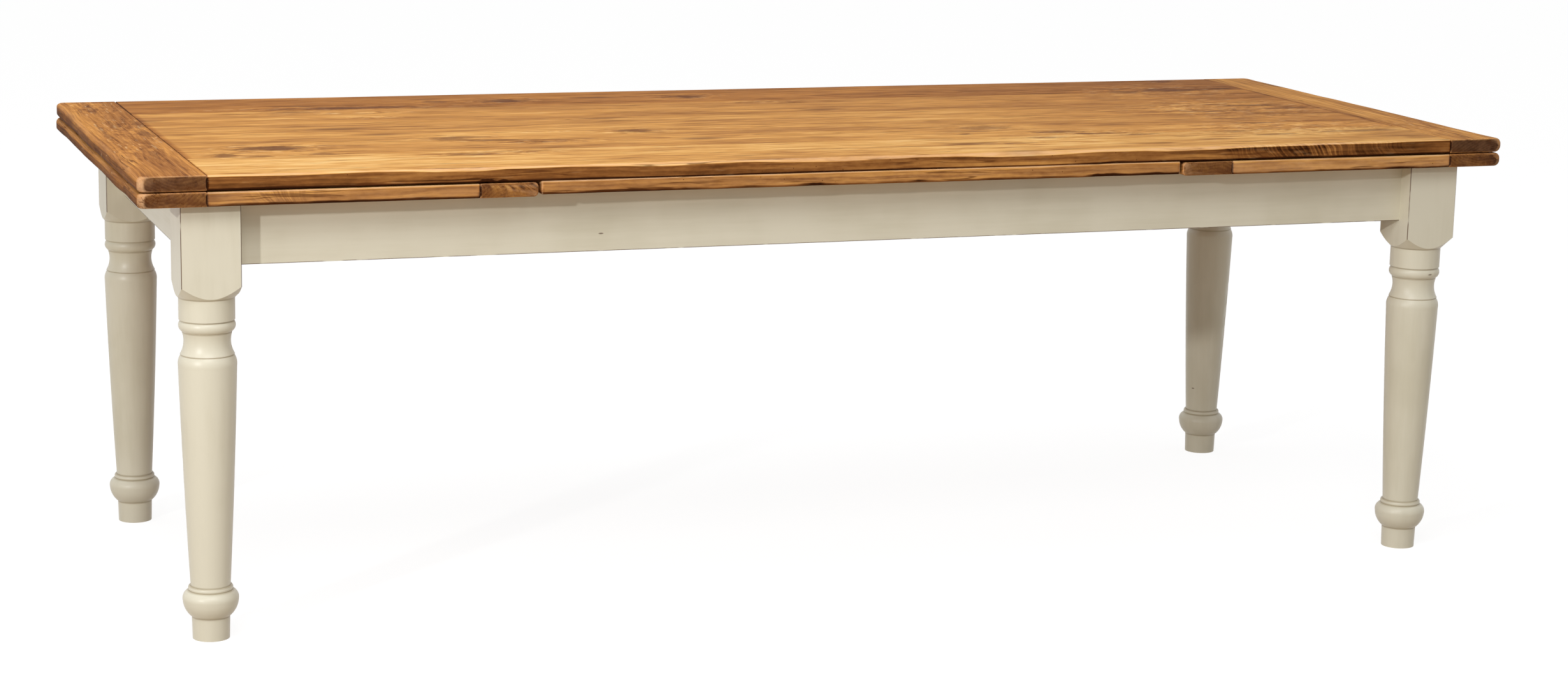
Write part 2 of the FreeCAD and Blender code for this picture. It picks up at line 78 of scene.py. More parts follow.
# %% [markdown]
# ## Camera
# A camera can be turned with three angles, but its roll then depends on the order of the turns. Here the
# view is written as three directions, to the right, up and forward, which go straight into the camera's
# matrix. The focal length is known in pixels of the picture, so it is turned into millimetres of sensor.

# %% Camera
picture_width = 2460
focal_in_pixels = 4991.3
sensor_width = 36
camera_place = Vector((-2.0081, -5.5004, 1.5256))
yaw, pitch, roll = 0.35418, 0.19762, 0.02218

forward = Vector((sin(yaw) * cos(pitch), cos(yaw) * cos(pitch), -sin(pitch)))
level_right = Vector((cos(yaw), -sin(yaw), 0))
level_up = level_right.cross(forward)
right = level_right * cos(roll) + level_up * sin(roll)
up = level_up * cos(roll) - level_right * sin(roll)

camera_data = bpy.data.cameras.new("camera")
camera_data.sensor_width = sensor_width
camera_data.lens = focal_in_pixels / picture_width * sensor_width
camera = bpy.data.objects.new("camera", camera_data)
camera.matrix_world = Matrix.Translation(camera_place) @ Matrix((right, up, -forward)).transposed().to_4x4()
bpy.context.scene.collection.objects.link(camera)
bpy.context.scene.camera = camera
print("lens", round(camera_data.lens, 1), "mm")

# %% [markdown]
# ## Building a finish from nodes
# A finish is a small program of nodes. Writing every node and link by hand takes many lines, so one helper
# adds a node, fills its inputs and gives back its output. Outputs can go straight into the next call, which
# makes a finish read like a sum.

# %% A helper for node materials
class Graph:
    """Adds nodes to one new material. What a call gives back can be an input of the next call."""

    def __init__(self, name):
        self.material = bpy.data.materials.new(name)
        self.material.use_nodes = True
        self.tree = self.material.node_tree
        self.shader = self.tree.nodes["Principled BSDF"]

    def fill(self, socket, value):
        if isinstance(value, bpy.types.NodeSocket):
            self.tree.links.new(value, socket)
        else:
            socket.default_value = value

    def node(self, kind, inputs, output=0, **settings):
        made = self.tree.nodes.new("ShaderNode" + kind)
        for name, value in settings.items():
            setattr(made, name, value)
        for name, value in inputs.items():
            self.fill(made.inputs[name], value)
        return made.outputs[output]

    def math(self, operation, *values):
        return self.node("Math", dict(enumerate(values)), operation=operation)

    def add(self, first, *others):
        for other in others:
            first = self.math("ADD", first, other)
        return first

    def times(self, a, b):
        return self.math("MULTIPLY", a, b)

    def stretch(self, place, x, y, z):
        return self.node("VectorMath", {0: place, 1: (x, y, z)}, operation="MULTIPLY")

    def length(self, place):
        return self.node("VectorMath", {0: place}, output=1, operation="LENGTH")


print("a graph can:", ", ".join(name for name in vars(Graph) if not name.startswith("_")))


# %% Noise, ranges and colours for the helper
class Finish(Graph):
    """A graph with the textures and colour steps that the finishes below share."""

    def attribute(self, name, output=2):
        return self.node("Attribute", {}, output=output, attribute_name=name)

    def place(self):
        return self.node("TexCoord", {}, output=3)

    def noise(self, place, detail=2.0, roughness=0.5, distortion=0.0):
        return self.node("TexNoise", {
            "Vector": place, "Scale": 1.0, "Detail": detail, "Roughness": roughness,
            "Distortion": distortion,
        })

    def between(self, value, low, high):
        """0 at low, 1 at high, with a soft step from one to the other."""
        return self.node(
            "MapRange", {0: value, 1: low, 2: high, 3: 0.0, 4: 1.0}, interpolation_type="SMOOTHSTEP")

    def swing(self, value, amount):
        """A noise from 0 to 1 turned into one that swings about 0."""
        return self.math("MULTIPLY_ADD", value, 2 * amount, -amount)

    def mix(self, share, a, b, blend="MIX"):
        return self.node("Mix", {0: share, 6: a, 7: b}, output=2, data_type="RGBA", blend_type=blend)

    def ramp(self, value, stops):
        out = self.node("ValToRGB", {0: value})
        elements = out.node.color_ramp.elements
        while len(elements) < len(stops):
            elements.new(0.5)
        for element, (position, tint) in zip(elements, stops):
            element.position = position
            element.color = tint
        return out

    def bump(self, height, depth, strength):
        normal = self.node("Bump", {"Height": height, "Distance": depth, "Strength": strength})
        self.fill(self.shader.inputs["Normal"], normal)

    def surface(self, **sockets):
        for name, value in sockets.items():
            self.fill(self.shader.inputs[name.replace("_", " ")], value)


print("a finish adds:", ", ".join(name for name in vars(Finish) if not name.startswith("_")))


# %% Colours as on a paint chart
def colour(red, green, blue):
    """A colour as a paint chart gives it, 0 to 255, turned into the plain light values that nodes use."""
    def to_light(part):
        part = part / 255
        return part / 12.92 if part <= 0.04045 else ((part + 0.055) / 1.055) ** 2.4
    return (to_light(red), to_light(green), to_light(blue), 1.0)


print("a middle grey as light values:", [round(part, 3) for part in colour(128, 128, 128)])

# %% [markdown]
# ## Floor and light
# The floor is wide enough to fill the view. Its own colour takes part in the light. Only where it is seen
# or mirrored, a share of plain white is added, so that it looks white and keeps the table's shadow. More
# light could whiten it too, but then the paint would burn out. A small low lamp at the front left models
# the turned legs, two wide ones in front and overhead light the boards, and a soft sky fills the rest.

# %% Floor
floor_size = 60
floor_colour = colour(225, 225, 225)
floor_bounce_colour = colour(180, 160, 134)
floor_white_share = 0.7
floor_white_strength = 1.25


def make_floor():
    mesh = bpy.data.meshes.new("floor")
    half = floor_size / 2
    corners = [(-half, -half, 0), (half, -half, 0), (half, half, 0), (-half, half, 0)]
    mesh.from_pydata(corners, [], [(0, 1, 2, 3)])
    floor = bpy.data.objects.new("floor", mesh)
    bpy.context.scene.collection.objects.link(floor)
    g = Finish("pale_floor")
    g.surface(Base_Color=floor_bounce_colour, Roughness=0.9)
    rays = g.node("LightPath", {}).node
    seen = g.math("MAXIMUM", rays.outputs["Is Camera Ray"], rays.outputs["Is Glossy Ray"])
    seen = g.math("MAXIMUM", seen, rays.outputs["Is Transmission Ray"])
    plain = g.node("BsdfDiffuse", {"Color": floor_colour})
    white = g.node("Emission", {"Color": (1, 1, 1, 1), "Strength": floor_white_strength})
    pale = g.node("MixShader", {0: floor_white_share, 1: plain, 2: white})
    shade = g.node("MixShader", {0: seen, 1: g.shader.outputs[0], 2: pale})
    g.fill(g.tree.nodes["Material Output"].inputs["Surface"], shade)
    mesh.materials.append(g.material)
    return floor


make_floor()
print("floor", floor_size, "m wide")

# %% Lamps
lamps = (
    # name, place, size and power of each lamp
    ("key", (-4.7, -3.5, 2.07), (0.16, 0.16), 100),
    ("softbox", (-1.3, -3.2, 3.4), (2.2, 1.6), 62),
    ("overhead", (-1.0, -0.2, 3.9), (3.0, 2.0), 42),
)


def add_lamp(name, place, size, power):
    data = bpy.data.lights.new(name, "AREA")
    data.shape = "RECTANGLE"
    data.size, data.size_y = size
    data.energy = power
    lamp = bpy.data.objects.new(name, data)
    lamp.location = place
    lamp.rotation_mode = "QUATERNION"
    aim = Vector((0, 0, cad_box[1][2]))
    lamp.rotation_quaternion = (Vector(place) - aim).to_track_quat("Z", "Y")
    bpy.context.scene.collection.objects.link(lamp)


for lamp in lamps:
    add_lamp(*lamp)
print("lamps:", ", ".join(f"{lamp[0]} {lamp[3]} W" for lamp in lamps))

# %% Sky
sky_strength = 0.50


def make_sky():
    sky = bpy.data.worlds.new("sky")
    bpy.context.scene.world = sky
    sky.use_nodes = True
    tree = sky.node_tree
    background = tree.nodes["Background"]
    rays = tree.nodes.new("ShaderNodeLightPath")
    seen = rays.outputs["Is Camera Ray"]
    for kind in ("Is Glossy Ray", "Is Transmission Ray"):
        either = tree.nodes.new("ShaderNodeMath")
        either.operation = "MAXIMUM"
        tree.links.new(seen, either.inputs[0])
        tree.links.new(rays.outputs[kind], either.inputs[1])
        seen = either.outputs[0]
    level = tree.nodes.new("ShaderNodeMapRange")
    tree.links.new(seen, level.inputs["Value"])
    level.inputs["To Min"].default_value = sky_strength
    level.inputs["To Max"].default_value = 1.0
    tree.links.new(level.outputs[0], background.inputs["Strength"])
    background.inputs["Color"].default_value = (1, 1, 1, 1)


make_sky()
bpy.context.scene.view_settings.view_transform = "Standard"
print("the sky lights the table at", sky_strength, "of white")

# %% [markdown]
# ## The finish of the boards
# Sawn pine shows where the board sat in the log. If every point of a board knows how far it is from the
# heart of its log, the growth rings come out right on the faces, the edges and the end grain alike, with
# no image at all. The boards below carry that place in a mesh attribute named log: along the trunk, and
# two ways across it. Rings, streaks and fibres are noises on that place, pulled out along the trunk.

# %% Colours of the boards
pine_stops = (
    (0.00, colour(58, 30, 14)),
    (0.22, colour(132, 84, 43)),
    (0.40, colour(172, 119, 64)),
    (0.58, colour(205, 148, 78)),
    (0.76, colour(228, 177, 105)),
    (1.00, colour(247, 212, 150)),
)
middle_level = 0.60
pale_fleck_and_highlight = colour(242, 208, 156)
dark_pore = colour(88, 48, 22)
worn_tint = colour(230, 184, 140)
end_tint = colour(64, 42, 30)
end_pale = colour(116, 84, 62)
knot_tint = colour(96, 56, 36)
red_stain = colour(255, 244, 230)
print("the wood goes through", len(pine_stops), "colours, from dark to pale")

# %% [markdown]
# Knots and curls could come from a noise, but then they land anywhere. A few of the largest are listed one
# by one, because they are what one recognises this top by.

# %% Knots and curls
# Knots and dark patches of the top: where they are, how long and wide, in millimetres, and how dark.
top_knots = (
    (-975, -200, 62, 30, 1.0), (-1070, -268, 22, 26, 0.8), (-1018, -290, 26, 12, 0.7),
    (-912, -282, 26, 14, 0.6), (-740, 318, 150, 20, 0.8), (-425, 376, 46, 26, 1.0),
    (-550, 380, 26, 18, 0.7), (-850, 270, 48, 14, 0.6), (-640, -120, 60, 12, 0.7),
    (-670, -332, 44, 16, 0.7), (-55, 380, 46, 24, 0.9), (-303, -92, 40, 22, 0.9),
    (-660, -140, 40, 12, 0.7), (-575, -170, 60, 12, 0.6), (274, -246, 16, 8, 1.0),
    (352, -170, 50, 26, 0.6), (457, -252, 46, 12, 0.8), (525, -282, 54, 10, 1.0),
    (598, -306, 40, 8, 0.9), (403, -318, 40, 12, 0.6), (318, -378, 40, 10, 0.6),
    (862, 300, 34, 18, 0.8), (962, 322, 60, 24, 0.7), (1006, 54, 70, 16, 0.8), (1060, 4, 60, 14, 0.7),
    (894, -18, 60, 12, 0.8), (889, -126, 60, 14, 0.6), (888, -196, 50, 10, 0.7),
    (848, -354, 50, 12, 0.6), (1004, -338, 60, 14, 0.5), (1020, 462, 30, 16, 1.0),
)
# Places where the grain curls and catches the light, in the same units.
top_curls = (
    (-490, -200, 130, 26, 0.8), (-690, 242, 60, 20, 0.7), (-720, 176, 60, 26, 0.8),
    (-790, 250, 40, 20, 0.8), (930, 300, 200, 120, 0.6), (960, 20, 220, 150, 0.8),
    (940, -270, 240, 110, 0.8), (520, -270, 120, 50, 0.7), (-595, -320, 110, 40, 0.7),
    (-460, -75, 60, 12, 0.8), (75, 275, 90, 24, 0.6),
)
# The same for the end boards: dark patches, and then curls.
end_spots = (
    (-1148, 150, 10, 60, 0.6), (-1156, 20, 12, 60, 0.7), (-1192, 141, 9, 70, 0.5),
    (-1197, 380, 9, 80, 0.5), (-1221, 40, 6, 90, 0.5), (-1180, -240, 8, 60, 0.5),
)
end_curls = (
    (-1190, 380, 50, 110, 0.6), (-1180, 100, 60, 130, 0.6), (-1200, -160, 50, 120, 0.5),
    (1190, -300, 50, 140, 0.4),
)
print(len(top_knots), "knots and patches and", len(top_curls), "curls on the top")


# %% Rings, streaks and fibres
rings_per_metre = 190
grain_waver = 2.5 * mm


def wavering(g, log):
    """Grain is never quite straight: this shifts the place in the log a little, slowly along the trunk."""
    sway = g.node("TexNoise", {"Vector": g.stretch(log, 5, 9, 9), "Scale": 1.0, "Detail": 2.0}, output=1)
    centred = g.node("VectorMath", {0: sway, 1: (0.5, 0.5, 0.5)}, operation="SUBTRACT")
    return g.node("VectorMath", {0: log, 1: g.stretch(centred, 0, 4 * grain_waver, 4 * grain_waver)})


def wood_figure(g, log, run, bend):
    """Noises on the place in the log: what the colour and the bump of the boards are made of."""
    drift = g.noise(g.stretch(log, 1.3, 9, 9), detail=2)
    heart = g.length(g.stretch(log, 0, 1, 1))
    ring = g.math("FRACT", g.add(g.times(heart, rings_per_metre), g.times(drift, 7), bend))
    return {
        "late": g.times(g.between(ring, 0.15, 0.85), g.between(ring, 1.0, 0.9)),
        "speck": g.noise(g.stretch(log, 60, 160, 160), detail=3, roughness=0.6),
        "arch": g.noise(g.stretch(log, 3, 55, 55), detail=2, distortion=0.5),
        "band": g.noise(g.stretch(log, 1.6, 24, 24), detail=2),
        "dark": g.noise(g.stretch(log, run, 85, 85), detail=3, roughness=0.55),
        "pale": g.noise(g.stretch(log, run * 1.4, 110, 110), detail=3, roughness=0.6),
        "streak": g.noise(g.stretch(log, run * 2, 140, 140), detail=3, roughness=0.7),
        "fibre": g.noise(g.stretch(log, 16, 620, 620), detail=1),
        "blotch": g.noise(g.stretch(log, 4, 14, 14), detail=3),
        "fleck": g.noise(g.stretch(log, 26, 170, 170), detail=1),
    }


print("growth rings are about", round(1 / rings_per_metre / mm, 1), "mm apart")


# %% Curly grain and placed marks
def slanting_lines(g, log):
    """Fine lines that run up the face and lean along it, as where a branch once left the trunk."""
    along, across, up = (g.node("SeparateXYZ", {0: log}, output=axis) for axis in range(3))
    lean = g.times(g.noise(g.stretch(log, 9, 4, 20), detail=1), 10)
    place = g.node("CombineXYZ", {
        0: g.add(g.times(along, 170), g.times(up, 110), g.times(across, 110), lean),
        1: g.times(along, 10), 2: g.times(up, 10),
    })
    return g.noise(place, detail=2, roughness=0.6)


def placed_marks(g, spots, ragged):
    """For placed spots: how deep a point lies in one, from 0 to 1, and how near it is to one."""
    place = g.place()
    marks, halo = 0.0, 0.0
    for x, y, along, across, depth in spots:
        from_spot = g.node("VectorMath", {0: place, 1: (x * mm, y * mm, 0)}, operation="SUBTRACT")
        reach = g.add(g.length(g.stretch(from_spot, 1 / (along * mm), 1 / (across * mm), 0)), ragged)
        marks = g.math("MAXIMUM", marks, g.times(g.between(reach, 1.25, 0.45), depth))
        halo = g.math("MAXIMUM", halo, g.times(g.between(reach, 2.4, 1.3), depth))
    return marks, halo


print("the first knot reaches", round(1.25 * top_knots[0][2]), "mm along the board from its middle")


# %% [markdown]
# Old pine has hairline drying cracks along its grain and the round holes of woodworm. Both are too small to
# be worth a mesh, so they are dark and sunken marks in the finish. The holes are on the faces along the
# edges only, and most cracks are there too.

# %% Small damage
hole_pitch = 36 * mm
hole_radius = 0.9 * mm


def drying_cracks(g, log, rough):
    """Hairlines along the grain, where a stretched noise passes through its middle."""
    level = g.noise(g.stretch(log, 3, 110, 110), detail=2)
    where = g.add(g.noise(g.stretch(log, 6, 40, 40), detail=1), g.times(rough, 0.05))
    near = g.math("ABSOLUTE", g.math("SUBTRACT", level, 0.5))
    return g.times(g.between(near, 0.030, 0.010), g.between(where, 0.58, 0.64))


def worm_holes(g, log, rough):
    """Small round holes, only in the faces along the edges: each is a tunnel that runs straight in."""
    cell = 1 / hole_pitch
    along, up = (g.node("SeparateXYZ", {0: log}, output=axis) for axis in (0, 2))
    on_face = g.node("CombineXYZ", {0: g.times(along, cell), 1: g.times(up, cell)})
    away = g.node("TexVoronoi", {"Vector": on_face, "Scale": 1.0}, voronoi_dimensions="2D")
    round_hole = g.between(away, hole_radius * cell * 1.3, hole_radius * cell * 0.7)
    where = g.noise(g.stretch(log, 3, 5, 5), detail=1)
    return g.times(g.times(round_hole, rough), g.between(where, 0.48, 0.54))


print("holes", 2 * hole_radius / mm, "mm across")


# %% All noises of one finish
def board_figure(g, facts, run, knots, curls):
    """All that changes from point to point. Run is how quickly the streaks change along the trunk."""
    log, rough = facts["log"], facts["rough"]
    tatter = g.noise(g.stretch(log, 22, 80, 80), detail=3, roughness=0.65)
    marks, halo = placed_marks(g, knots, g.swing(tatter, 1.1))
    curled = placed_marks(g, curls, g.swing(tatter, 0.8))[0]
    figure = wood_figure(g, log, run, g.times(marks, 2.0))
    # The faces along the edges weren't planed as smooth, so they show more specks and arches.
    unplaned = g.add(g.swing(figure["speck"], 0.16), g.swing(figure["arch"], 0.50))
    cracks = g.times(drying_cracks(g, log, rough), 0.8)
    figure.update({
        "tatter": tatter, "marks": marks,
        "restless": g.math("MAXIMUM", curled, g.times(halo, 0.6)),
        "eddies": g.noise(g.stretch(log, 26, 60, 60), detail=3, roughness=0.6, distortion=1.2),
        "uneven": g.times(rough, unplaned),
        "slant": g.swing(g.between(slanting_lines(g, log), 0.36, 0.66), 0.20),
        "damage": g.math("MAXIMUM", cracks, worm_holes(g, log, rough)),
    })
    return figure


def grain_level(g, facts, figure):
    """How much lighter or darker than its middle the wood is at a point."""
    streaks = g.add(
        g.times(g.between(figure["dark"], 0.45, 0.31), -0.20),
        g.times(g.between(figure["pale"], 0.55, 0.70), 0.13),
        g.swing(figure["streak"], 0.26),
        g.swing(figure["fibre"], 0.20),
    )
    broad = g.add(
        g.swing(figure["band"], 0.24),
        g.swing(figure["blotch"], 0.20),
        g.times(figure["late"], -0.10),
        # Where the grain curls, it swings light and dark: partly figure, partly painted highlight of the
        # curls.
        g.times(figure["restless"], g.swing(figure["eddies"], 0.85)),
    )
    streak_share = g.math("MULTIPLY_ADD", facts["rough"], -0.55, 1.0)
    curly = g.add(figure["slant"], g.swing(figure["blotch"], 0.7))
    return g.add(g.times(streaks, streak_share), broad, figure["uneven"], g.times(facts["curl"], curly))


print("the figure of a board is a sum of noises, each pulled out along the trunk")

# %% [markdown]
# The level of the grain picks a colour from a ramp. Over it come, in this order, what the tree left (flecks
# and knots; where the grain curls, the pale flecks are a painted highlight), what the saw left (open end
# grain) and what use left (dirt, rubbed places, cracks and holes).

# %% From the level to a colour
def wood_tint(g, facts, figure):
    """The colour of the sound wood."""
    tone, rough = facts["tone"], facts["rough"]
    # A dark stain hides part of the figure.
    contrast = g.node("Clamp", {0: g.math("MULTIPLY_ADD", tone, 1.2, 1.0), 1: 0.5, 2: 1.2})
    level = g.add(middle_level, tone, g.times(grain_level(g, facts, figure), contrast))
    # A board that is darker than the rest is also redder, but not on the faces along its edges.
    redder = g.times(g.node("Clamp", {0: g.times(tone, -6)}), g.math("SUBTRACT", 1.0, rough))
    tint = g.mix(redder, g.ramp(level, pine_stops), red_stain, "MULTIPLY")

    # Pale flecks: a few everywhere in the figure, and many more where the grain curls, as a painted
    # highlight.
    fleck_share = g.math("MULTIPLY_ADD", figure["restless"], 0.6, 0.05)
    tint = g.mix(g.times(g.between(figure["fleck"], 0.62, 0.72), fleck_share), tint, pale_fleck_and_highlight)
    pin_knots = g.node("TexVoronoi", {"Vector": g.stretch(facts["log"], 2.6, 9, 9), "Scale": 1.0})
    tint = g.mix(g.times(g.between(pin_knots, 0.18, 0.04), 0.6), tint, knot_tint)
    knot_share = g.times(figure["marks"], g.math("MULTIPLY_ADD", figure["tatter"], -0.5, 1.05))
    return g.mix(knot_share, tint, knot_tint)


def aged_tint(g, facts, figure, tint):
    """End grain, dirt, rubbed places and small damage over the sound wood."""
    tatter = figure["tatter"]
    sawn_level = g.add(
        0.35, g.swing(tatter, 0.7), g.times(figure["late"], -0.15), g.times(facts["curl"], figure["slant"]))
    tint = g.mix(g.times(facts["ends"], 0.95), tint, g.mix(sawn_level, end_tint, end_pale))
    # Wear below 0 is dirt, and wear above 0 is rubbed wood.
    dirt = g.node("Clamp", {0: g.times(facts["wear"], -1.0)})
    tint = g.mix(g.times(dirt, g.add(0.55, g.swing(tatter, 0.9))), tint, dark_pore)
    rubbed = g.node("Clamp", {0: facts["wear"]})
    tint = g.mix(g.times(rubbed, g.add(0.75, g.swing(tatter, 0.9))), tint, worn_tint)
    return g.mix(g.times(figure["damage"], 0.85), tint, dark_pore)


print("seven layers can lie over the ramp, from pale flecks to dark holes")


# %% The finish itself
# What each point of a board carries besides its place in the log.
fact_names = ("tone", "wear", "ends", "curl", "rough")


def board_finish(name, run, knots=(), curls=(), carries_log=True):
    """A board that keeps its built shape carries no log, so its own place stands in for it."""
    g = Finish(name)
    facts = {word: g.attribute(word) for word in fact_names}
    facts["log"] = wavering(g, g.attribute("log", output=1) if carries_log else g.place())
    figure = board_figure(g, facts, run, knots, curls)
    tint = aged_tint(g, facts, figure, wood_tint(g, facts, figure))
    height = g.add(
        g.times(figure["streak"], 0.6), g.times(figure["fibre"], 0.4), g.times(figure["late"], -0.3),
        g.times(figure["marks"], -0.6), g.times(figure["damage"], -1.5), g.times(figure["uneven"], 2.0),
    )
    g.bump(height, 0.4 * mm, 0.5)
    g.surface(Base_Color=tint, Roughness=g.math("MULTIPLY_ADD", figure["streak"], -0.18, 0.56))
    g.shader.inputs["Specular IOR Level"].default_value = 0.005
    return g.material


top_wood = board_finish("top_wood", 6, top_knots, top_curls)
board_wood = board_finish("board_wood", 6)
drilled_wood = board_finish("drilled_wood", 6, carries_log=False)
end_wood = board_finish("end_wood", 3, end_spots, end_curls)
print("wood finishes:", ", ".join(wood.name for wood in (top_wood, board_wood, drilled_wood, end_wood)))

# %% [markdown]
# ## Worn boards
# A board could be a box with a bevel modifier, but a bevel is equally wide all along, and these edges are
# worn: wide here, narrow there, with a chip or a split. So each board is a loft. At many stations along it
# stands the same ring of points, its section, and each station sets its own corner sizes. Neighbouring
# rings are joined by faces.

# %% Sizes that vary along an edge
def along_noise(s, pitch, seed):
    """A smooth swing from -1 to 1 along a board, the same on every run."""
    return noise.noise(Vector((s / pitch, seed * 7.31, seed * 3.17)))


def worn(size, swing, pitch, seed):
    """An edge size that swings about its mean by a share of it."""
    def at(s):
        slow, quick = along_noise(s, pitch, seed), along_noise(s, pitch / 3, seed + 9)
        return size * max(0.2, 1 + swing * (slow + 0.5 * quick))
    return at


def through(pairs):
    """A smooth line through given pairs of place and size."""
    def at(s):
        if s <= pairs[0][0]:
            return pairs[0][1]
        for (a, low), (b, high) in zip(pairs, pairs[1:]):
            if s <= b:
                share = (s - a) / (b - a)
                return low + (high - low) * share * share * (3 - 2 * share)
        return pairs[-1][1]
    return at


def with_chips(base, chips):
    """Adds short broken-out stretches: where, half as long, and how deep."""
    def at(s):
        size = base(s)
        for middle, half, depth in chips:
            away = abs(s - middle) / half
            if away < 1:
                size += depth * (1 - away ** 2) * (0.75 + 0.25 * along_noise(s, 4 * mm, middle))
        return size
    return at


print("worn edge every 0.3 m:", [round(worn(6, 0.4, 0.2, 1)(s / 10), 1) for s in range(0, 12, 3)])


# %% One corner of a section
class Corner:
    """A worn corner: how far it reaches across and up. Blunt goes from 1, a flat cut, to 2, round."""

    def __init__(self, across, rise=None, blunt=2.0, steps=5, wear=0.0):
        self.across = across if callable(across) else (lambda s: across)
        rise = rise or across
        self.rise = rise if callable(rise) else (lambda s: rise)
        self.blunt, self.steps, self.wear = blunt, steps, wear

    def points(self, s, way_across, way_up):
        """Offsets from the sharp corner, from the side face to the level face, and how worn each is."""
        across, rise = self.across(s), self.rise(s)
        for step in range(self.steps + 1):
            turn = step / self.steps * pi / 2
            power = 2 / self.blunt
            out_across = across * (1 - max(cos(turn), 0.0) ** power)
            out_up = rise * (1 - max(sin(turn), 0.0) ** power)
            wear = self.wear * sin(2 * turn) ** 0.5 if 0 < step < self.steps else 0.0
            yield way_across * out_across, way_up * out_up, wear


hairline = 0.35 * mm
glued_gap = 0.6 * mm


def tight():
    """The corner of a glued joint, all but sharp. Wear below 0 stands for the dirt in it."""
    return Corner(glued_gap, steps=2, wear=-1.0)


round_corner = Corner(6 * mm).points(0, 1, 1)
print("a round corner, across and up:", [(round(a / mm, 1), round(b / mm, 1)) for a, b, _ in round_corner])

# %% [markdown]
# ## Joining sections into a board
# The section runs round the board: bottom, far side, top, near side. Every station has the same number of
# points in the same order, which is all that a loft needs. Close to an end the stations stand tight
# together and draw in, so that the end's edges are rounded or grooved too.

# %% How a board ends
def rounding(depth, radius):
    """How far a round edge has drawn in, at a depth behind the end face."""
    if radius <= 0 or depth >= radius:
        return 0.0
    return radius - sqrt(radius ** 2 - (radius - depth) ** 2)


class End:
    """What happens near one end: a groove against the next board, or rounded edges."""

    def __init__(self, groove=0.0, edge=0.0, low_corner=0.0, high_corner=0.0, open_grain=0.0, rub=0.7):
        self.groove, self.edge, self.rub = groove, edge, rub
        self.low_corner, self.high_corner, self.open_grain = low_corner, high_corner, open_grain

    def reach(self):
        return max(self.groove, self.edge, self.low_corner, self.high_corner, hairline)

    def depths(self):
        reach = self.reach()
        return [reach * share ** 2 for share in (0, 0.2, 0.4, 0.6, 0.8, 1.0)]

    def draw_in(self, depth):
        """How much the low side, high side, bottom and top draw in at this depth."""
        return (
            rounding(depth, self.low_corner), rounding(depth, self.high_corner), rounding(depth, self.edge),
            max(rounding(depth, self.edge), self.groove - depth, 0.0),
        )


panel_joint = 1.5 * mm
faint_joint = 0.7 * mm
joint_tone = 0.6
print("groove between panel and end board", panel_joint / mm, "mm")


# %% The section at one station
def spread(a, b, count):
    """Points between a and b, without the two ends."""
    return [a + (b - a) * (i + 1) / (count + 1) for i in range(count)]


def section(board, s, box):
    """The ring of points at one station: across, up, how worn, and which part of the board it is on."""
    low, high, bottom, top = box
    ring = []

    def corner(which, corner_across, corner_up, way_across, way_up, backwards):
        points = list(board["corners"][which].points(s, way_across, way_up))
        if backwards:
            points.reverse()
        ring.extend((corner_across + a, corner_up + b, wear, which) for a, b, wear in points)

    def face(part, places):
        ring.extend((across, height, 0.0, part) for across, height in places)

    corner("bottom_low", low, bottom, 1, 1, False)
    start, stop = ring[-1][0], high - board["corners"]["bottom_high"].across(s)
    face("bottom", [(a, bottom) for a in spread(start, stop, board["rows_under"])])
    corner("bottom_high", high, bottom, -1, 1, True)
    start, stop = ring[-1][1], top - board["corners"]["top_high"].rise(s)
    face("high_side", [(high, h) for h in spread(start, stop, board["rows_side"])])
    corner("top_high", high, top, -1, -1, False)
    start, stop = ring[-1][0], low + board["corners"]["top_low"].across(s)
    face("top", [(a, top) for a in spread(start, stop, board["rows_top"])])
    corner("top_low", low, top, 1, -1, True)
    start, stop = ring[-1][1], ring[0][1]
    face("low_side", [(low, h) for h in spread(start, stop, board["rows_side"])])
    return ring


print("three points between 0 and 1:", spread(0, 1, 3))


# %% The loft
hollow_depth = 0.5 * mm


def stations(board):
    """Places along the board: even steps, and tight ones near both ends."""
    start, stop = board["start"], board["stop"]
    count = max(2, round((stop - start) / board["step"]))
    places = {round(start + (stop - start) * i / count, 6) for i in range(1, count)}
    near_start = [start + depth for depth in board["ends"][0].depths()]
    near_stop = [stop - depth for depth in board["ends"][1].depths()]
    inner = [p for p in places if near_start[-1] + hairline < p < near_stop[-1] - hairline]
    return sorted(near_start + inner + near_stop)


def surface_dip(x, y):
    """Years of planing and wiping leave shallow hollows in the upper face."""
    return hollow_depth * (0.5 + 0.5 * noise.noise(Vector((x * 3.1, y * 9.0, 4.2))))


def world_place(board, s, across, height):
    return (s, across, height) if board["along"] == "x" else (across, s, height)


def loft(board):
    """All points of the board, ring by ring, with what each point has to carry for the finish."""
    start, stop = board["start"], board["stop"]
    rings = []
    for s in stations(board):
        ends = board["ends"]
        from_start, from_stop = ends[0].draw_in(s - start), ends[1].draw_in(stop - s)
        low_in, high_in, bottom_in, top_in = (max(a, b) for a, b in zip(from_start, from_stop))
        box = (
            board["low"] + low_in + board["low_wave"](s), board["high"] - high_in - board["high_wave"](s),
            board["bottom"] + bottom_in, board["top"] - top_in,
        )
        rings.append([(s, *point) for point in section(board, s, box)])
    return rings


print("dip of the top at its middle", round(surface_dip(0, 0) / mm, 2), "mm")


# %% [markdown]
# ## What the points carry
# A mesh attribute is a number or a vector on every point, which a finish can read. The boards carry their
# place in the log, how light or dark they are, where they are worn, where the end grain is open, and where
# the figure is curly. This is how one finish serves every board and still shows each as its own.

# %% End grain, joints and rims
open_joint = 3.4 * mm
wide_corner = 5 * mm


def open_end(end, depth):
    """End grain shows on the end face and fades just behind it."""
    return end.open_grain * max(0.0, 1 - depth / (1.5 * mm))


def joint_shade(end, depth, part):
    """Dirt and painted shade in the groove to the next board. On the outer face the joint has opened a
    little.
    """
    if not end.groove:
        return 0.0
    reach = open_joint if "side" in part else 1.6 * end.groove
    return max(0.0, 1 - depth / reach)


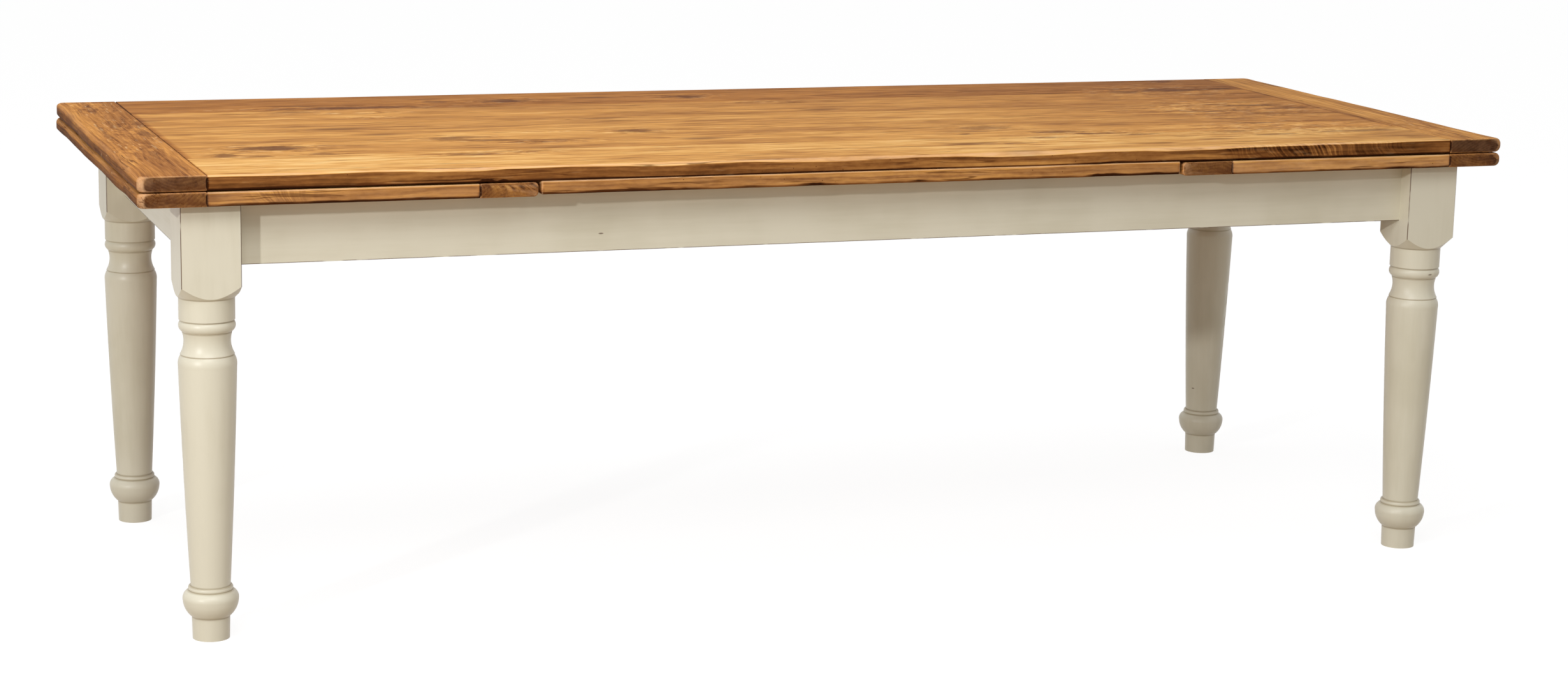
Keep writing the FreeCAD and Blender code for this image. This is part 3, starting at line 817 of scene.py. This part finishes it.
def rubbed_rim(end, depth, part):
    """The rounded edge behind an end face is rubbed pale, and so is its rounded upright corner."""
    if depth == 0:
        return 0.0
    rim = max(0.0, 1 - abs(depth / end.edge - 0.7) / 0.6) if end.edge else 0.0
    corner = max(end.low_corner if "low" in part else 0.0, end.high_corner if "high" in part else 0.0)
    if corner > wide_corner:
        rim = max(rim, min(1.0, 2.2 * (1 - depth / corner)))
    return end.rub * max(0.0, rim)


print("a joint looks open for", round(open_joint / mm, 1), "mm on a side face")

# %% Tone and wear of a point
# Painted shade inside the front split: points in it are darkened by this much.
split_painted_shade = 0.35


def in_joint(board, near, part):
    """True on the side of a cross board that faces its panel, where dirt gathers."""
    return part == board["joined"] and min(depth for end, depth in near) > 0


def point_tone(board, near, s, height, part):
    """How light or dark a point is."""
    tone = board["tone"] - joint_tone * max(joint_shade(end, depth, part) for end, depth in near)
    if part in board["tone_of"]:
        tone += board["tone_of"][part](s)
    if in_joint(board, near, part):
        tone -= joint_tone
    # Painted shade inside the split.
    if board["split"]:
        tone -= split_painted_shade * board["split"](s, height, part)
    return tone


def point_wear(board, near, wear, part):
    """How rubbed a point is: as its corner, as the rim behind an end, or by a film on its face."""
    rim = max(rubbed_rim(end, depth, part) for end, depth in near)
    rim = max(rim, board["film"].get(part, 0.0))
    if in_joint(board, near, part):
        rim = 0.0
    return wear if rim < abs(wear) else rim


print("a joint is", joint_tone, "darker than its board, and a split", split_painted_shade)


# %% What one point carries
def point_facts(board, s, across, height, wear, part):
    """The attribute values of one point."""
    near = list(zip(board["ends"], (s - board["start"], board["stop"] - s)))
    faces_out = part.endswith("side") or part.startswith("top_")
    edge_face = part.endswith("side") or part.startswith("bottom_")
    # Drying cracks and worm holes stop short of the rounded ends, where they would break up the end grain.
    past_ends = all(depth > 1.5 * end.reach() for end, depth in near)
    return {
        "log": (s + board["shift"], across - board["heart"][0], height - board["heart"][1]),
        "tone": point_tone(board, near, s, height, part),
        "wear": point_wear(board, near, wear, part),
        "ends": max(open_end(end, depth) for end, depth in near),
        "curl": board["curl"](s) if faces_out else 0.0,
        "rough": 1.0 if edge_face and past_ends else 0.0,
    }


def write_attributes(mesh, facts):
    for name in fact_names:
        layer = mesh.attributes.new(name, "FLOAT", "POINT")
        layer.data.foreach_set("value", [fact[name] for fact in facts])
    layer = mesh.attributes.new("log", "FLOAT_VECTOR", "POINT")
    layer.data.foreach_set("vector", [part for fact in facts for part in fact["log"]])


print("every point carries", ", ".join(fact_names), "and its place in the log")

# %% From points to a mesh
split_depth = 2.5 * mm


def loft_faces(rings, count):
    """Four-sided faces from ring to ring, and one face that closes each end."""
    last = (rings - 1) * count
    faces = [tuple(range(count))[::-1], tuple(range(last, last + count))]
    for start in range(0, last, count):
        for j in range(count):
            k = (j + 1) % count
            faces.append((start + j, start + k, start + count + k, start + count + j))
    return faces


def build(board):
    """Turns a board into a smooth mesh object that rides on its body and stands for its node."""
    rings = loft(board)
    count = len(rings[0])
    places, facts = [], []
    for ring in rings:
        for s, across, height, wear, part in ring:
            x, y, z = world_place(board, s, across, height)
            if part.startswith("top"):
                z -= surface_dip(x, y)
            if board["split"]:
                y += split_depth * board["split"](s, height, part)
            places.append((x, y, z))
            facts.append(point_facts(board, s, across, height, wear, part))
    mesh = bpy.data.meshes.new(board["name"])
    mesh.from_pydata(places, [], loft_faces(len(rings), count))
    write_attributes(mesh, facts)
    return finish_piece(board, mesh)


print("two rings of four points make", len(loft_faces(2, 4)), "faces")


# %% From a mesh to a piece
def finish_piece(board, mesh):
    shaped = bmesh.new()
    shaped.from_mesh(mesh)
    bmesh.ops.recalc_face_normals(shaped, faces=shaped.faces)
    for face in shaped.faces:
        face.smooth = True
    shaped.to_mesh(mesh)
    shaped.free()
    piece = bpy.data.objects.new(board["name"], mesh)
    bpy.context.scene.collection.objects.link(piece)
    even = piece.modifiers.new("even_normals", "WEIGHTED_NORMAL")
    even.weight = 60
    mesh.materials.append(board["finish"])
    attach(piece, board["body"])
    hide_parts(board["node"])
    return piece


print("meshes before the first board:", len(bpy.data.meshes))


# %% What every board starts from
bodies = frame["record"]["behaviour"]["bodies"]
body_of_node = {node: body for body, nodes in bodies.items() for node in nodes}
board_numbers = itertools.count(1)


def still(s):
    return 0.0


def steady(value):
    """The same value all along a board."""
    return lambda s: value


def wave(depth, pitch, seed):
    """An edge that wanders inwards by up to a depth."""
    return lambda s: depth * (0.5 + 0.5 * along_noise(s, pitch, seed))


def plain_board(node, along, start, stop, low, high, bottom, top):
    """A board with all but sharp corners. Each kind below changes what differs."""
    seed = next(board_numbers)
    heart_side = 1 if seed % 2 else -1
    return {
        "name": node + "_board", "node": node, "along": along, "seed": seed,
        "start": start, "stop": stop, "low": low, "high": high, "bottom": bottom, "top": top,
        "corners": {which: tight() for which in ("bottom_low", "bottom_high", "top_high", "top_low")},
        "ends": (End(groove=panel_joint), End(groove=panel_joint)),
        "low_wave": still, "high_wave": still, "curl": still, "split": None, "joined": None,
        "rows_top": 16, "rows_under": 3, "rows_side": 3, "step": 12 * mm,
        "shift": seed * 3.7,
        "heart": (
            (low + high) / 2 + along_noise(seed * 0.37, 1, 3) * 90 * mm,
            bottom - heart_side * (70 + 60 * abs(along_noise(seed * 0.61, 1, 5))) * mm,
        ),
        "tone": 0.08 * along_noise(seed * 0.83, 1, 8), "tone_of": {}, "film": {},
        "finish": board_wood, "slot": "plank_wood", "body": body_of_node[node],
    }


print("bodies:", sorted(bodies))

# %% [markdown]
# ## The planks of the loose top
# Five planks lie side by side between the two end boards. Only the front and the back plank have an edge
# that shows. At the front its upper corner is worn to a wavy slope, which is the table's most telling
# line, so its depth is listed along the length. Lower down, the face has one long split, and its
# lower corner has a few chips.

# %% The front edge of the top
def box_of(node):
    """Lowest and highest corner of a node, as plain numbers."""
    low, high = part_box(node)
    return tuple(low) + tuple(high)


left_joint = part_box("top_end_board_left")[1].x
right_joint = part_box("top_end_board_right")[0].x

front_slope = through([(x * mm, depth * mm) for x, depth in (
    (-1130, 2.2), (-1000, 3.4), (-880, 1.8), (-820, 2.5), (-750, 4.8), (-700, 5.3), (-640, 3.1),
    (-550, 2.4), (-460, 3.8), (-370, 5.9), (-300, 3.8), (-220, 3.1), (-150, 5.6), (-70, 6.8), (20, 5.7),
    (90, 3.7), (150, 4.1), (250, 7.3), (320, 6.7), (430, 3.5), (500, 3.9), (570, 6.1), (640, 5.2),
    (740, 2.7), (980, 2.3), (1050, 0.9), (1130, 0.6),
)])
# How light or dark the front face is along its length, against the middle of the scale.
front_tone = through([(x * mm, tone) for x, tone in (
    (-1130, -0.38), (-1000, -0.34), (-720, -0.27), (-560, -0.34), (-280, -0.24), (-80, -0.31),
    (160, -0.24), (340, -0.22), (480, -0.38), (640, -0.29), (720, -0.39), (800, -0.47), (880, -0.21),
    (960, -0.45), (1040, -0.49), (1130, -0.38),
)])
# Chips in the lower corner of the front edge: where, half as long, and how deep.
front_chips = ((-0.680, 14 * mm, 5 * mm), (-0.652, 8 * mm, 3 * mm), (0.46, 30 * mm, 1.5 * mm))
curly_middle, curly_half = 0.86, 0.20
split_start, split_stop, split_height = -0.862, -0.648, 0.7655
split_taper = 0.03
split_half = 1.3 * mm


def curly_right(s):
    """The front edge has curly grain towards its right end."""
    away = abs(s - curly_middle) / curly_half
    return sqrt(1 - away) if away < 1 else 0.0


def front_split(s, height, part):
    """A long drying split in the front face: how far open it is at a point, from 0 to 1."""
    if part != "low_side" or not split_start < s < split_stop:
        return 0.0
    middle = split_height + 1.2 * mm * along_noise(s, 0.05, 2)
    length = min(1.0, (s - split_start) / split_taper, (split_stop - s) / split_taper)
    return length * max(0.0, 1 - abs(height - middle) / split_half)


print("the slope of the front edge is", round(front_slope(0) / mm, 1), "mm deep in the middle")

# %% Worn edges of the top
top_tones = (0.11, -0.03, -0.03, -0.06, -0.18)
# Painted shade: the top is darker towards its right end, where less light falls on it.
along_painted_shade = through([(-1.13, 0.0), (0.3, 0.0), (0.75, -0.06), (1.13, -0.10)])
back_face_tone = -0.30
# Painted shade along the lower corner of an outer edge, where the gap to the layer below lies in shadow.
under_corner_shade = 0.30
# The planks of the first and the last row have an edge that shows, with a rounded upright corner.
outer_side = {1: "low", 5: "high"}
plank_corner = 3 * mm


def upright_corner(row):
    return {outer_side[row] + "_corner": plank_corner} if row in outer_side else {}


def darker(shade, by):
    """The same line of tones along an edge, lower by a fixed amount."""
    return lambda s: shade(s) - by


def wear_front(board):
    board["corners"]["top_low"] = Corner(
        lambda s: 1.15 * front_slope(s) + 1.2 * mm, front_slope, blunt=1.25, steps=7, wear=0.7)
    rubbed = worn(2.0 * mm, 0.4, 0.2, 3)
    board["corners"]["bottom_low"] = Corner(with_chips(rubbed, front_chips), steps=5)
    board["curl"], board["split"] = curly_right, front_split


def wear_back(board):
    board["corners"]["top_high"] = Corner(worn(5 * mm, 0.5, 0.3, 21), blunt=1.25, steps=6, wear=1.0)
    board["corners"]["bottom_high"] = Corner(worn(2.5 * mm, 0.4, 0.2, 22))


print("an upright corner of the front row:", upright_corner(1))


# %% Planks of the top
def top_plank(row):
    node = f"top_plank_{row}"
    _, y0, z0, _, y1, z1 = box_of(node)
    board = plain_board(node, "x", left_joint, right_joint, y0, y1, z0, z1)
    board["finish"], board["tone"] = top_wood, top_tones[row - 1]
    # The joint at the right end of the top is tighter than the one at the left.
    board["ends"] = tuple(End(groove=gap, **upright_corner(row)) for gap in (panel_joint, faint_joint))
    board["tone_of"] = {"top": along_painted_shade}
    if row in outer_side:
        outer = outer_side[row]
        board[outer + "_wave"] = wave(0.9 * mm, 0.25, 6 * row)
        board["rows_side"], board["step"] = (14, 5 * mm) if row == 1 else (5, 12 * mm)
        shade = darker(front_tone, board["tone"]) if row == 1 else steady(back_face_tone)
        board["tone_of"][outer + "_side"] = shade
        board["tone_of"]["bottom_" + outer] = darker(shade, under_corner_shade)
    if row == 1:
        wear_front(board)
    if row == 5:
        wear_back(board)
    return build(board)


for row in range(1, 6):
    plank = top_plank(row)
    print(plank.name, len(plank.data.vertices), "points")

# %% [markdown]
# ## End boards and battens
# Across each end of a panel lies a board whose grain runs the other way. Its end grain shows at the front
# and back, darker than the rest, because open grain drinks more stain. The outer edge is worn round, more
# on the right of the table than on the left.

# %% End boards
outer_radius = {"left": 8.0 * mm, "right": 11.5 * mm}
# How much the edges are rubbed, and how open the end grain is.
end_wear = {"left": (0.7, 0.85), "right": (0.35, 1.0)}
leaf_open_grain = 0.7
end_edge = 2.6 * mm
outer_corner = 12 * mm
inner_corner = 3 * mm
end_tones = {"top_end_board_right": -0.08}
usual_end_tone = -0.15


def side_of(node):
    return "left" if "left" in node else "right"


def cross_board(node):
    """A board whose grain runs across the table."""
    x0, y0, z0, x1, y1, z1 = box_of(node)
    board = plain_board(node, "y", y0, y1, x0, x1, z0, z1)
    board["finish"], board["slot"] = end_wood, "end_wood"
    board["rows_top"], board["rows_side"], board["step"] = 10, 4, 7 * mm
    return board


def end_board(node):
    side = side_of(node)
    board = cross_board(node)
    radius = outer_radius[side]
    outer, inner = ("low", "high") if side == "left" else ("high", "low")
    joint = panel_joint if side == "left" else faint_joint
    seed = board["seed"]
    across, rise = worn(radius, 0.3, 0.16, seed), worn(radius * 0.9, 0.3, 0.2, seed + 3)
    board["corners"]["top_" + outer] = Corner(across, rise, blunt=1.9, steps=7, wear=0.15)
    board["corners"]["bottom_" + outer] = Corner(worn(radius * 0.85, 0.2, 0.16, seed + 5), steps=7)
    board["corners"]["top_" + inner] = Corner(joint, blunt=1.2, steps=3)
    board[outer + "_wave"] = wave(4.5 * mm, 0.12, seed + 8)
    board["joined"] = inner + "_side"
    corners = {outer + "_corner": outer_corner, inner + "_corner": inner_corner}
    rub, open_grain = end_wear[side]
    if "leaf" in node:
        open_grain = leaf_open_grain
    board["ends"] = (End(edge=end_edge, open_grain=open_grain, rub=rub, **corners),) * 2
    board["tone"] = end_tones.get(node, usual_end_tone)
    # Painted shade: the outer side face is darker, and its lower corner darker still.
    board["tone_of"] = {outer + "_side": steady(-0.22), "bottom_" + outer: steady(-0.30)}
    return build(board)


print("the outer edges are round to", [round(radius / mm, 1) for radius in outer_radius.values()], "mm")

# %% Inner battens
batten_radius = 8.0 * mm
batten_edge = 2.0 * mm
# Open grain, tone and curl of the two battens.
batten_looks = {"left": (0.5, -0.20, 1.5), "right": (0.7, -0.22, 0.7)}


def batten(node):
    board = cross_board(node)
    inner, outer = ("high", "low") if side_of(node) == "left" else ("low", "high")
    open_grain, board["tone"], curl = batten_looks[side_of(node)]
    board["curl"] = steady(curl)
    rounded = worn(batten_radius, 0.15, 0.2, board["seed"])
    for level in ("top_", "bottom_"):
        board["corners"][level + inner] = Corner(rounded, steps=7, wear=0.3)
    board["corners"]["top_" + outer] = Corner(panel_joint, blunt=1.2, steps=3)
    corners = {inner + "_corner": 4 * mm, outer + "_corner": inner_corner}
    board["ends"] = (End(edge=batten_edge, open_grain=open_grain, rub=0.5, **corners),) * 2
    board["joined"] = outer + "_side"
    return build(board)


cross_nodes = [node for node in frame["nodes"] if "end_board" in node or "batten" in node]
for node in sorted(cross_nodes):
    piece = batten(node) if "batten" in node else end_board(node)
    print(piece.name, len(piece.data.vertices), "points")

# %% [markdown]
# ## The layer below: centre board and leaves
# Between the two leaves lies the fixed centre board, level with them. From the front the layer is a row of
# seven faces with a dark gap above: for each leaf a long face between two pieces of end grain, and the
# centre board. Its lower corner is rubbed and chipped where hands and knees meet it.
# The middle plank of the centre board has the holes of the guide pegs, so it keeps its built shape.

# %% Front and back faces of the layer below
# A deep chip is darker than a shallow one: this much for each metre of depth.
chip_darkness = 60
lower_tones = {"left": 0.04, "centre": 0.0, "right": 0.06}
face_tones = {
    # place along the front in millimetres, and how light or dark the face is there
    "left": ((-1100, -0.13), (-980, -0.13), (-860, -0.20), (-720, -0.15)),
    "centre": (
        (-560, -0.15), (-200, -0.10), (60, -0.05), (180, -0.06), (320, -0.12), (440, -0.19), (560, -0.31),
    ),
    "right": ((700, -0.12), (880, -0.16), (1080, -0.12)),
}
# A dull film of wax and dust: it makes the face greyer.
face_films = {"left": 0.14, "centre": 0.10, "right": 0.30}
centre_chips = (
    (-0.42, 20 * mm, 1.5 * mm), (-0.10, 42 * mm, 3.5 * mm), (0.09, 14 * mm, 3 * mm),
    (0.43, 36 * mm, 2.5 * mm),
)
swirl_middle, swirl_half, swirl_strength = -1.02, 0.07, 0.8


def swirl(s):
    """The swirl in the front face of the left leaf, near its end board."""
    return swirl_strength * max(0.0, 1 - abs(s - swirl_middle) / swirl_half)


def finish_outer_edge(board, kind, side):
    """Gives the front or the back plank of the lower layer its worn edge."""
    seed, tone = board["seed"], board["tone"]
    lower = worn(2.6 * mm, 0.8, 0.07, seed)
    if kind == "centre":
        lower = with_chips(lower, centre_chips)
    board["corners"]["top_" + side] = Corner(worn(2.4 * mm, 0.5, 0.2, seed + 2), steps=5, wear=0.9)
    board["corners"]["bottom_" + side] = Corner(lower, steps=5)
    board[side + "_wave"] = wave(1.2 * mm, 0.2, seed + 4)
    shade = through([(x * mm, level - tone) for x, level in face_tones[kind]])

    # Painted shade along the lower corner of the face; there a deeper chip is darker too.
    def chip_shade(s):
        return shade(s) - 0.20 - chip_darkness * lower(s)

    board["tone_of"] = {side + "_side": shade, "bottom_" + side: chip_shade}
    board["film"] = {side + "_side": face_films[kind]}
    board["rows_side"], board["step"] = 6, 6 * mm


print("chips in the centre board:", len(centre_chips))


# %% Planks of the leaves and the centre board
def lower_plank(kind, row):
    node = f"centre_plank_{row}" if kind == "centre" else f"{kind}_leaf_plank_{row}"
    x0, y0, z0, x1, y1, z1 = box_of(node)
    if kind != "centre":
        neighbours = (f"{kind}_leaf_end_board", f"{kind}_leaf_inner_batten")
        low, high = sorted(neighbours, key=lambda name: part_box(name)[0].x)
        x0, x1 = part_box(low)[1].x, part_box(high)[0].x
    board = plain_board(node, "x", x0, x1, y0, y1, z0, z1)
    board["tone"] = lower_tones[kind] + 0.08 * along_noise(row * 0.7, 1, 12)
    board["rows_top"], board["step"] = 6, 16 * mm
    corner = upright_corner(row)
    end = End(edge=2.0 * mm, **corner) if kind == "centre" else End(groove=panel_joint, **corner)
    board["ends"] = (end, end)
    if row in outer_side:
        finish_outer_edge(board, kind, outer_side[row])
    if node == "left_leaf_plank_1":
        board["curl"] = swirl
    return build(board)


for kind in ("left", "centre", "right"):
    rows = (1, 2, 4, 5) if kind == "centre" else range(1, 6)
    points = sum(len(lower_plank(kind, row).data.vertices) for row in rows)
    print(kind, "planks", points, "points")

# %% [markdown]
# ## Paint
# Legs and aprons are in cream satin paint, brushed on and rubbed back. The brush leaves faint lines along
# each piece, corners show a thin dark line of bare wood, and the creases of the turning hold a little
# shade. All of it depends on where a point is on the piece, and the sizes of the frame say where that is.

# %% Paint
cream = colour(219, 214, 195)
cream_shade = colour(206, 200, 178)
bare_wood = colour(96, 70, 48)
crease_shade = colour(176, 164, 138)


def paint_finish(name, brush, arris, creases=()):
    """Brush is how noise is pulled out along x, y and z. Arris gives 1 on corners that are rubbed bare."""
    g = Finish(name)
    place = g.place()
    strokes = g.noise(g.stretch(place, *brush), detail=3, roughness=0.6)
    cloud = g.noise(g.stretch(place, 6, 6, 5), detail=3)
    shading = g.add(g.times(strokes, 0.3), g.times(cloud, 0.7))
    tint = g.mix(g.between(shading, 0.38, 0.75), cream, cream_shade)

    patches = g.noise(g.stretch(place, 23, 23, 14), detail=2)
    bare = g.times(arris(g, place), g.between(patches, 0.34, 0.46))
    nick_cells = g.node("TexVoronoi", {"Vector": g.stretch(place, 5, 7, 16), "Scale": 1.0})
    nicks = g.between(nick_cells, 0.030, 0.012)
    bare = g.math("MAXIMUM", bare, g.times(nicks, 0.8))

    height_z = g.node("SeparateXYZ", {0: place}, output=2)
    crease = 0.0
    for level, width in creases:
        away = g.math("ABSOLUTE", g.math("SUBTRACT", height_z, level))
        crease = g.math("MAXIMUM", crease, g.between(away, width, 0.0))
    tint = g.mix(g.times(crease, 0.75), tint, crease_shade)
    tint = g.mix(bare, tint, bare_wood)
    height = g.add(g.times(strokes, 0.5), g.times(bare, -0.8))
    g.bump(height, 0.35 * mm, 0.35)
    g.surface(Base_Color=tint, Roughness=g.math("MULTIPLY_ADD", strokes, 0.14, 0.32))
    g.shader.inputs["Specular IOR Level"].default_value = 0.5
    return g.material


print("cream paint as light values:", [round(part, 3) for part in cream])

# %% Corners that are rubbed bare
leg_low, leg_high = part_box("leg_back_right")
leg_middle = (leg_low + leg_high) / 2
block_half = (leg_high.x - leg_low.x) / 2


def leg_arris(g, place):
    """1 on the upright corners of the four leg blocks."""
    apart = []
    for output, middle in ((0, leg_middle.x), (1, leg_middle.y)):
        part = g.node("SeparateXYZ", {0: place}, output=output)
        folded = g.math("SUBTRACT", g.math("ABSOLUTE", part), middle)
        apart.append(g.math("ABSOLUTE", folded))
    nearer = g.math("MINIMUM", *apart)
    return g.between(nearer, block_half - 1.6 * mm, block_half - 0.9 * mm)


def apron_arris(axis, face):
    """1 along the lower outer corner of the aprons whose outer face is at that distance."""
    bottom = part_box("apron_front")[0].z

    def at(g, place):
        out = g.math("ABSOLUTE", g.node("SeparateXYZ", {0: place}, output=axis))
        height_z = g.node("SeparateXYZ", {0: place}, output=2)
        near_face = g.between(out, face - 1.5 * mm, face - 0.3 * mm)
        near_bottom = g.between(height_z, bottom + 1.6 * mm, bottom + 0.3 * mm)
        return g.times(near_face, near_bottom)
    return at


# Creases of the turned legs: how high, and how wide their shade is, in millimetres.
turning_creases = [(height * mm, width * mm) for height, width in (
    (537, 2.2), (517.5, 2.5), (480, 2.2), (90.5, 3), (83, 2.5), (38, 3), (575, 2.5),
)]
leg_paint = paint_finish("leg_paint", (60, 60, 7), leg_arris, turning_creases)
long_apron_paint = paint_finish("long_apron_paint", (5, 60, 90), apron_arris(1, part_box("apron_back")[1].y))
end_apron_paint = paint_finish("end_apron_paint", (60, 5, 90), apron_arris(0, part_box("apron_right")[1].x))
print("leg blocks", round(2 * block_half / mm), "mm square")

# %% [markdown]
# ## What is inside
# Under the top are plain deal pieces that no one finished: bearers, braces, runners and pegs. Their wood is
# paler, with a saw's marks across it. Screws, bolts and nuts are zinc-plated steel.

# %% Unfinished wood and steel
deal_stops = (
    (0.0, colour(150, 108, 66)),
    (0.35, colour(190, 150, 102)),
    (0.65, colour(212, 178, 132)),
    (1.0, colour(230, 204, 164)),
)


def deal_finish(name, grain, saw):
    """Grain and saw are how the noises are pulled out along x, y and z."""
    g = Finish(name)
    place = g.place()
    streak = g.noise(g.stretch(place, *grain), detail=3, roughness=0.6, distortion=0.3)
    cuts = g.noise(g.stretch(place, *saw), detail=1)
    tint = g.ramp(g.add(0.5, g.swing(streak, 0.6), g.swing(cuts, 0.08)), deal_stops)
    g.bump(g.add(g.times(streak, 0.4), g.times(cuts, 0.5)), 0.4 * mm, 0.4)
    g.surface(Base_Color=tint, Roughness=g.math("MULTIPLY_ADD", streak, 0.2, 0.6))
    return g.material


def steel_finish():
    g = Finish("zinc_steel")
    place = g.place()
    grain = g.noise(g.stretch(place, 900, 900, 900), detail=2)
    dull = g.noise(g.stretch(place, 120, 120, 120), detail=2)
    tint = g.ramp(dull, ((0.3, colour(150, 152, 152)), (0.7, colour(186, 188, 188))))
    g.bump(grain, 0.05 * mm, 0.3)
    g.surface(Base_Color=tint, Metallic=1.0, Roughness=g.math("MULTIPLY_ADD", dull, 0.25, 0.3))
    return g.material


deal_along_x = deal_finish("deal_along_x", (5, 120, 120), (300, 8, 8))
deal_along_y = deal_finish("deal_along_y", (120, 5, 120), (8, 300, 8))
zinc_steel = steel_finish()
print("finishes inside:", deal_along_x.name, deal_along_y.name, zinc_steel.name)


# %% Finishes for the pieces that stay as built
def finish_of(node):
    if node.startswith("leg_"):
        return leg_paint
    if node in ("apron_front", "apron_back"):
        return long_apron_paint
    if node.startswith("apron_"):
        return end_apron_paint
    if any(word in node for word in ("screws", "bolts", "washers", "nuts")):
        return zinc_steel
    if node.startswith("bearer_"):
        return deal_along_y
    if node.startswith("centre_plank"):
        return drilled_wood
    return deal_along_x


kept = [node for node, piece in frame["nodes"].items() if not piece.hide_render]
for node in kept:
    piece = frame["nodes"][node]
    piece.data.materials.clear()
    piece.data.materials.append(finish_of(node))
print(len(kept), "pieces keep their built shape")
